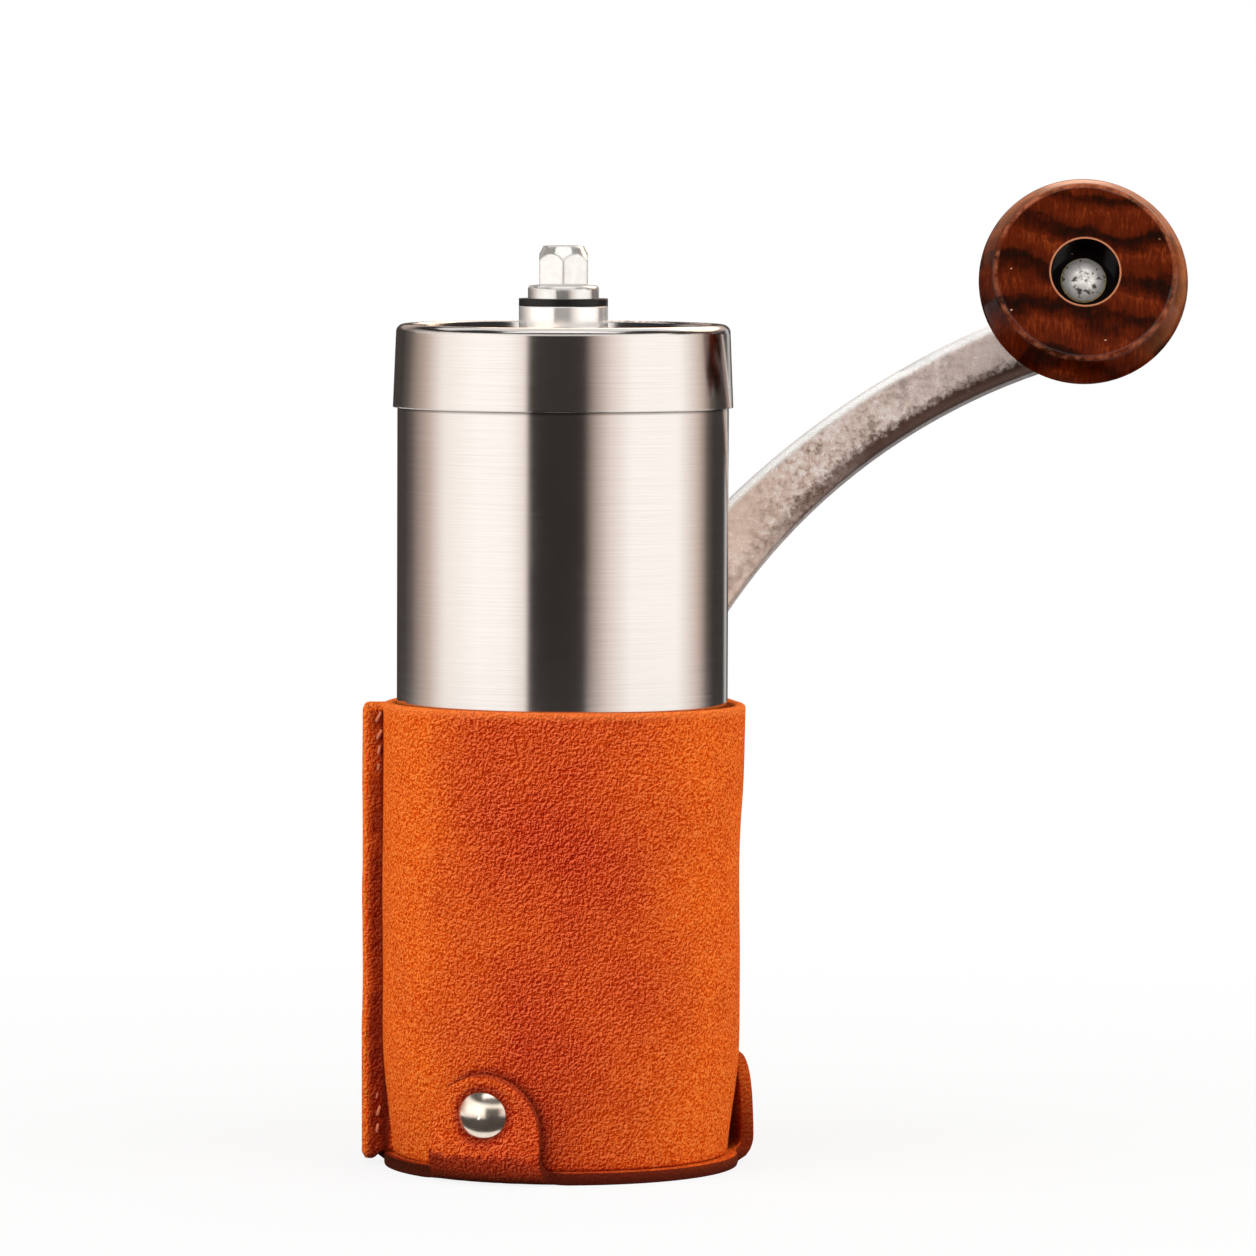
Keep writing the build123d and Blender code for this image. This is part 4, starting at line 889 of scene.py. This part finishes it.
def ear_outline(turn, top):
    """Edge of one flat ear from the disc's rim on one side to the rim on the other."""
    rim_z = float(height_at(BASE_R))
    straight_top = top - EAR_HALF_W
    rise = list(np.linspace(rim_z, EAR_FLARE, 6)) + list(np.linspace(EAR_FLARE, straight_top, 5)[1:-1])
    side = [(ear_half_width(z, top), z) for z in rise]
    arc = [
        (EAR_HALF_W * math.cos(a), straight_top + EAR_HALF_W * math.sin(a))
        for a in np.linspace(0, math.pi / 2, 15)
    ]
    half = side + arc
    outline = [(-across, z) for across, z in half] + [(across, z) for across, z in reversed(half[:-1])]
    return [flat_point(turn, across, run_at(z)) for across, z in outline]


def base_outline(spots, top):
    """Edge of the flat base: ears joined by stretches of the disc's rim."""
    foot = ear_half_width(float(height_at(BASE_R)), top) / EAR_REACH
    points = []
    for (turn, _, _), (after, _, _) in zip(spots, spots[1:] + spots[:1]):
        points += ear_outline(turn, top)
        start, end = turn + foot, after - foot + (2 * math.pi if after <= turn else 0)
        count = int((end - start) * BASE_R / EAR_MESH)
        rim = np.linspace(start, end, count)[1:-1]
        points += [(BASE_R * math.cos(a), BASE_R * math.sin(a)) for a in rim]
    return points


def inner_points(spots, top):
    """Grid over the flat base, fine where it bends and coarse in the middle."""
    margin = 0.6 * EAR_MESH
    reach = run_at(top)
    kept = []
    for x in np.arange(-reach, reach, EAR_MESH):
        for y in np.arange(-reach, reach, EAR_MESH):
            run = math.hypot(x, y)
            left_out = round(x / EAR_MESH) % COARSE or round(y / EAR_MESH) % COARSE
            if run < BASE_R - margin:
                if run > BEND_START - EAR_BEND_MARGIN or not left_out:
                    kept.append((x, y))
                continue
            z = float(height_at(run))
            for turn, _, _ in spots:
                across = abs(math.remainder(math.atan2(y, x) - turn, 2 * math.pi)) * EAR_REACH
                if z < top - margin and across < ear_half_width(z, top) - margin:
                    kept.append((x, y))
    return kept


def bent_base(run, turn, spots):
    """Where points of the flat base come to lie once the ears are bent up and riveted."""
    radius, height = run.copy(), np.full(len(run), BASE_LEATHER / 2)
    angle = np.clip((run - BEND_START) / EAR_BEND_R, 0, math.pi / 2)
    up_radius = np.minimum(run, BEND_START) + EAR_BEND_R * np.sin(angle)
    up_height = height_at(run)
    for ear_turn, seat, rivet_z in spots:
        across = apart(turn, ear_turn) * EAR_REACH
        bend = np.clip(1 - (np.abs(across) - EAR_HALF_W) / EAR_FLARE, 0, 1)
        bend = bend**2 * (3 - 2 * bend)
        pinch = EAR_REACH + BASE_LEATHER / 2 - seat - EAR_CAP_SINK
        spread = bell(across, PINCH_W)
        hold = pinch * spread * bell(up_height - rivet_z, PINCH_H)
        swell = BULGE * spread * bell(up_height - BULGE_Z, BULGE_H)
        rise = np.clip((up_height - BASE_LEATHER) / EAR_BEND_R, 0, 1)
        radius += bend * (up_radius - run + rise * (swell - hold)) * (run > BEND_START)
        height += bend * (up_height - BASE_LEATHER / 2)
    return np.column_stack([radius * np.cos(turn), radius * np.sin(turn), height])


def rivet_and_rim_shade(run, turn, spots):
    """Painted shade on the base, close round the rivet caps and on its rim below the fin."""
    low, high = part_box("rivet_caps")
    cap_r = (high.z - low.z) / 2
    height = height_at(run)
    dark = np.zeros(len(run))
    for ear_turn, _, rivet_z in spots:
        across = apart(turn, ear_turn) * EAR_REACH
        away = np.hypot(across, height - rivet_z) - cap_r
        dark = np.maximum(dark, 0.65 * bell(np.maximum(away, 0), SHADOW_W))
    rim = np.clip((run - BASE_R) / RIM_SHADE_W + 1, 0, 1) * (height < EAR_FLARE)
    beside_fin = bell(apart(turn, FIN_TURN), RIM_SHADE_TURN)
    return np.maximum(dark, 0.98 * rim * beside_fin)


def build_base():
    """The base, cut flat, bent up at its ears and given its thickness."""
    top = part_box("sleeve_base")[1].z
    spots = rivet_spots()
    edge = base_outline(spots, top)
    points = [Vector(p) / MM for p in edge + inner_points(spots, top)]
    made = delaunay_2d_cdt(points, [], [list(range(len(edge)))], 1, 1e-4)
    flat = np.array([tuple(p) for p in made[0]]) * MM
    run, turn = np.hypot(flat[:, 0], flat[:, 1]), np.arctan2(flat[:, 1], flat[:, 0])
    base = mesh_object("leather_base", bent_base(run, turn, spots), made[2])
    # painted shade round the rivet caps and on the rim below the fin
    base_shade = base.data.attributes.new("crease", "FLOAT", "POINT")
    base_shade.data.foreach_set("value", rivet_and_rim_shade(run, turn, spots))
    thick = base.modifiers.new("thickness", "SOLIDIFY")
    thick.thickness = BASE_LEATHER
    thick.offset = 0
    thick.material_offset_rim = 1
    edges = base.modifiers.new("worn_edges", "BEVEL")
    edges.width = EDGE_WEAR
    edges.segments = 2
    edges.limit_method = "ANGLE"
    edges.angle_limit = math.radians(50)
    base.data.materials.append(suede_ears)
    base.data.materials.append(suede_edge)
    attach(base, "sleeve")
    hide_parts("sleeve_base")
    corners = np.array(edge)
    x, y = corners.T
    area = abs(np.sum(x * np.roll(y, -1) - y * np.roll(x, -1))) / 2
    return base, tuple(float(v) for v in np.ptp(corners, axis=0)), float(area)


leather_wall, wall_cut = build_wall()
leather_base, base_cut, base_area = build_base()


# Thread: a row of stitches through the fin, beside the wall
STITCH_SHARE = 0.62  # of the pitch, the rest lies on the other side
STITCH_SUNK = 0.75 * MM  # how deep the thread lies where the seam is tight
SEAM_LOOSE = 6 * MM  # it stands out more near the ends of the seam
SEAM_STARTS = 1.7 * MM  # first stitch below the top edge
SEAM_SHORT = 3 * MM  # the seam is this much shorter than the fin
STITCH_RINGS = 7
STITCH_SIDES = 8


def stitch(start, end, outward):
    """Points and faces of one stitch, which comes up out of the leather and goes down again."""
    along = (end - start).normalized()
    beside = along.cross(outward)
    points = []
    for ring in range(STITCH_RINGS):
        share = ring / (STITCH_RINGS - 1)
        rise = math.sin(math.pi * share) ** 0.6
        centre = start.lerp(end, share) + outward * STITCH_R * (1.5 * rise - 1.4)
        thick = STITCH_R * (0.75 + 0.25 * rise)
        for side in range(STITCH_SIDES):
            turn = 2 * math.pi * side / STITCH_SIDES
            points.append(centre + thick * (math.cos(turn) * beside + math.sin(turn) * outward))
    return points, tube_faces(STITCH_RINGS, STITCH_SIDES)


def build_stitches():
    """The seam's stitches on both sides of the fin, none quite like the next."""
    low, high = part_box("sleeve_wall")
    chance = random.Random(5)
    points, faces = [], []
    face = FIN_SLIT / 2 + LEATHER
    count = int((high.z - low.z - SEAM_SHORT) / STITCH_PITCH)
    for outward in (Vector((0, -1, 0)), Vector((0, 1, 0))):
        for i in range(count):
            x = low.x + SEAM_INSET + chance.uniform(-0.25, 0.15) * MM
            z = high.z - SEAM_STARTS - i * STITCH_PITCH + chance.uniform(-0.2, 0.2) * MM
            from_end = min(z - low.z, high.z - z)
            tight = min(1, max(0, from_end - SEAM_LOOSE) / SEAM_LOOSE)
            sunk = STITCH_SUNK * tight - chance.uniform(0, 0.1) * MM
            side = (face - sunk) * outward.y
            lean = chance.uniform(0.05, 0.4) * MM
            length = STITCH_SHARE * STITCH_PITCH * chance.uniform(0.8, 1.15)
            start = Vector((x + lean, side, z))
            end = Vector((x - lean, side, z - length))
            made, joined = stitch(start, end, outward)
            faces += [tuple(len(points) + v for v in f) for f in joined]
            points += made
    seam = mesh_object("fin_stitches", points, faces)
    seam.data.materials.append(thread)
    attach(seam, "sleeve")
    return seam


fin_stitches = build_stitches()


# Spring of the mill, which shortens and lengthens as the grind is set; built here as one fixed coil
SPRING_TURNS = 3.5
SPRING_STEPS = 36  # per turn
WIRE_R = 0.45 * MM
WIRE_SIDES = 12


def build_spring():
    """One wire, its top at the drive and its foot at the inner burr."""
    low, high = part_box("burr_spring")
    coil_r = (high.x - low.x) / 2 - WIRE_R
    foot, top = low.z + WIRE_R, high.z - WIRE_R
    up = Vector((0, 0, 1))
    count = int(SPRING_TURNS * SPRING_STEPS)
    points = []
    for i in range(count + 1):
        turn = 2 * math.pi * i / SPRING_STEPS
        out = Vector((math.cos(turn), math.sin(turn), 0))
        centre = out * coil_r + up * (foot + (top - foot) * i / count)
        for side in range(WIRE_SIDES):
            around = 2 * math.pi * side / WIRE_SIDES
            points.append(centre + WIRE_R * (math.cos(around) * out + math.sin(around) * up))
    spring = mesh_object("mill_spring", points, closed_tube_faces(count + 1, WIRE_SIDES))
    spring.data.materials.append(nodes["burr_spring"].data.materials[0])
    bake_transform(spring)
    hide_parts("burr_spring")


build_spring()


# Studio: world, floor, screen, dark cloth and soft boxes
NEUTRAL = (1.0, 0.985, 0.965)
WARM = (1.0, 0.80, 0.70)
CREAM = (1.0, 0.74, 0.56)
SCREEN_PEAK = 1.5
SCREEN_STOPS = [
    # azimuth from the front, level, warmth
    (-180, 0.03, 1.0), (-140, 0.03, 1.0), (-128, 0.13, 1.0), (-106, 0.70, 1.0),
    (-88, 1.30, 0.2), (-60, 1.48, 0.0), (-38, 1.45, 0.0), (-24.5, 1.25, 0.4),
    (-22.5, 0.012, 1.0), (15, 0.012, 1.0), (20, 0.40, 1.0), (32, 1.05, 0.6),
    (48, 1.42, 0.0), (86, 1.42, 0.0), (107, 0.80, 0.9), (119, 0.12, 1.0),
    (128, 0.03, 1.0), (151, 0.03, 0.0), (155, 0.6, 0.0), (160, 0.6, 0.0),
    (164, 0.03, 0.0), (180, 0.03, 1.0),
]
UPPER_STOPS = [
    # the same, higher up
    (-180, 0.7, 1.0), (-150, 0.4, 1.0), (-140, 0.2, 0.5), (-120, 0.6, 0.4),
    (-100, 1.0, 0.3), (-60, 1.48, 0.0), (-30, 1.2, 0.0), (0, 1.0, 0.0),
    (30, 1.2, 0.0), (76, 1.42, 0.0), (88, 0.05, 0.5), (134, 0.05, 0.5),
    (150, 0.6, 1.0), (180, 0.7, 1.0),
]
FLOOR_CLOTHS = [
    # from and to azimuth, inner and outer radius
    (-100, -23, 0.033, 0.08),
    (-23, 16, 0.033, 0.74),
    (16, 30, 0.033, 0.26),
    (30, 135, 0.033, 0.12),
    (124, 152, 0.12, 0.74),
    (164, 204, 0.05, 0.74),
]


def make_world():
    """White behind the object, weaker as light on it."""
    s = Shade("studio", "worlds", "Background")
    strength = s.span(s.seen_directly(), 0.0, 1.0, AMBIENT, 1.0)
    bpy.context.scene.world = s.done(Color=(1.0, 1.0, 1.0), Strength=strength)


def make_floor():
    """Floor that takes the object's shadow and turns plain white away from it."""
    half = FLOOR_SIZE / 2
    corners = [(-half, -half, 0), (half, -half, 0), (half, half, 0), (-half, half, 0)]
    floor = mesh_object("floor", corners, [(0, 1, 2, 3)])
    s = Shade("floor")
    s.tree.nodes.remove(s.shader)
    white = s.span(s.length(s.place()), *FLOOR_FADE, FLOOR_GLOW, 1.0)
    share = s.times(s.seen_directly(), white)
    paint = s.node("BsdfDiffuse", {"Color": (*FLOOR_GREY, 1.0)}).outputs[0]
    glow = s.node("Emission", {}).outputs[0]
    mixed = s.node("MixShader", {0: share, 1: paint, 2: glow}).outputs[0]
    s.feed(s.tree.nodes["Material Output"].inputs["Surface"], mixed)
    floor.data.materials.append(s.owner)


def bearing(azimuth, distance):
    """Point on the floor plan, at an angle from the front towards the right."""
    turn = math.radians(azimuth)
    return Vector((math.sin(turn) * distance, -math.cos(turn) * distance, 0))


def soft_box(name, place, aim, size, radiance, colour, mirrored=True):
    """Area lamp of a given brightness that faces a point."""
    data = bpy.data.lights.new(name, "AREA")
    data.shape = "RECTANGLE"
    data.size, data.size_y = size
    data.energy = radiance * math.pi * size[0] * size[1]
    data.color = colour
    lamp = link(bpy.data.objects.new(name, data))
    lamp.location = place
    lamp.rotation_euler = (aim - place).to_track_quat("-Z", "Y").to_euler()
    lamp.visible_camera = False
    lamp.visible_glossy = mirrored


def upper_box(name, azimuth, rise, size, radiance, colour, mirrored=True):
    """Soft box above the set, turned to the object."""
    aim = Vector((0, 0, AIM_Z))
    turn = math.radians(rise)
    place = aim + bearing(azimuth, STUDIO_R * math.cos(turn)) + Vector((0, 0, STUDIO_R * math.sin(turn)))
    soft_box(name, place, aim, size, radiance, colour, mirrored)


def dark_cloth(name, points, faces):
    """Black cloth of the set, which the camera doesn't see."""
    cloth = mesh_object(name, points, faces)
    s = Shade(name)
    weave = s.noise(s.place(), 900, 2)
    black = s.mix(weave, (0.010, 0.009, 0.009), (0.018, 0.016, 0.016))
    cloth.data.materials.append(s.done(Base_Color=black, Roughness=0.95, Specular_IOR_Level=0.0))
    cloth.visible_camera = False
    return cloth


def ring_sector(start, end, inner, outer):
    """Points and faces of a flat sector of floor."""
    count = max(2, int(abs(end - start) / CLOTH_STEP))
    reach = [bearing(azimuth, 1.0) for azimuth in np.linspace(start, end, count)]
    points = [(p.x * r, p.y * r, CLOTH_Z) for p in reach for r in (inner, outer)]
    return points, [(2 * i, 2 * i + 2, 2 * i + 3, 2 * i + 1) for i in range(count - 1)]


def make_floor_cloth():
    """Dark cloth on the floor, only for what metal and lacquer mirror there."""
    points, faces = [], []
    for sector in FLOOR_CLOTHS:
        made, joined = ring_sector(*sector)
        faces += [tuple(len(points) + v for v in f) for f in joined]
        points += made
    floor_cloth = dark_cloth("cloth_floor", points, faces)
    floor_cloth.visible_diffuse = False
    floor_cloth.visible_shadow = False


def screen_ramp(stops):
    """Colour stops of the screen, from azimuth, level and warmth."""
    made = []
    for azimuth, level, warmth in stops:
        tint = Vector(NEUTRAL).lerp(Vector(WARM), warmth) * level / SCREEN_PEAK
        made.append(((azimuth + 180) / 360, tuple(tint)))
    return made


def make_screen():
    """Screen round the set, lit from behind at the left and right and dark in front and at the back."""
    points, faces = [], []
    for i in range(SCREEN_SIDES):
        azimuth = 360 * i / SCREEN_SIDES
        spot = bearing(azimuth, STUDIO_R)
        top = RING_BACK_H if RING_BACK <= azimuth <= 360 - RING_BACK else RING_H
        points += [(spot.x, spot.y, z) for z in (SCREEN_FOOT, top)]
        after = (i + 1) % SCREEN_SIDES
        faces.append((2 * i, 2 * after, 2 * after + 1, 2 * i + 1))
    screen = mesh_object("screen", points, faces)
    s = Shade("screen")
    axes = s.axes(s.place())
    turn = s.math("ARCTAN2", axes["X"], s.times(axes["Y"], -1))
    share = s.span(turn, -math.pi, math.pi, 0.0, 1.0)
    low, high = (s.ramp(share, screen_ramp(stops)) for stops in (SCREEN_STOPS, UPPER_STOPS))
    glow = s.mix(s.span(axes["Z"], *UPPER_FROM, 0.0, 1.0), low, high)
    strength = s.span(axes["Z"], *RING_LIT, SCREEN_PEAK, 0.0)
    lit = s.done(Base_Color=(0.012, 0.011, 0.011), Emission_Color=glow, Emission_Strength=strength)
    screen.data.materials.append(lit)
    screen.visible_camera = False


make_world()
make_floor()
make_floor_cloth()
make_screen()
upper_box("box_upper_left", -60, 55, (0.55, 0.45), 5.2, NEUTRAL, mirrored=False)
upper_box("box_upper_right", 62, 55, (0.55, 0.45), 4.8, NEUTRAL, mirrored=False)
upper_box("box_back", 152, 36, (0.85, 0.36), 2.7, CREAM)
upper_box("box_front", 0, 59, (0.9, 0.24), 1.4, NEUTRAL)
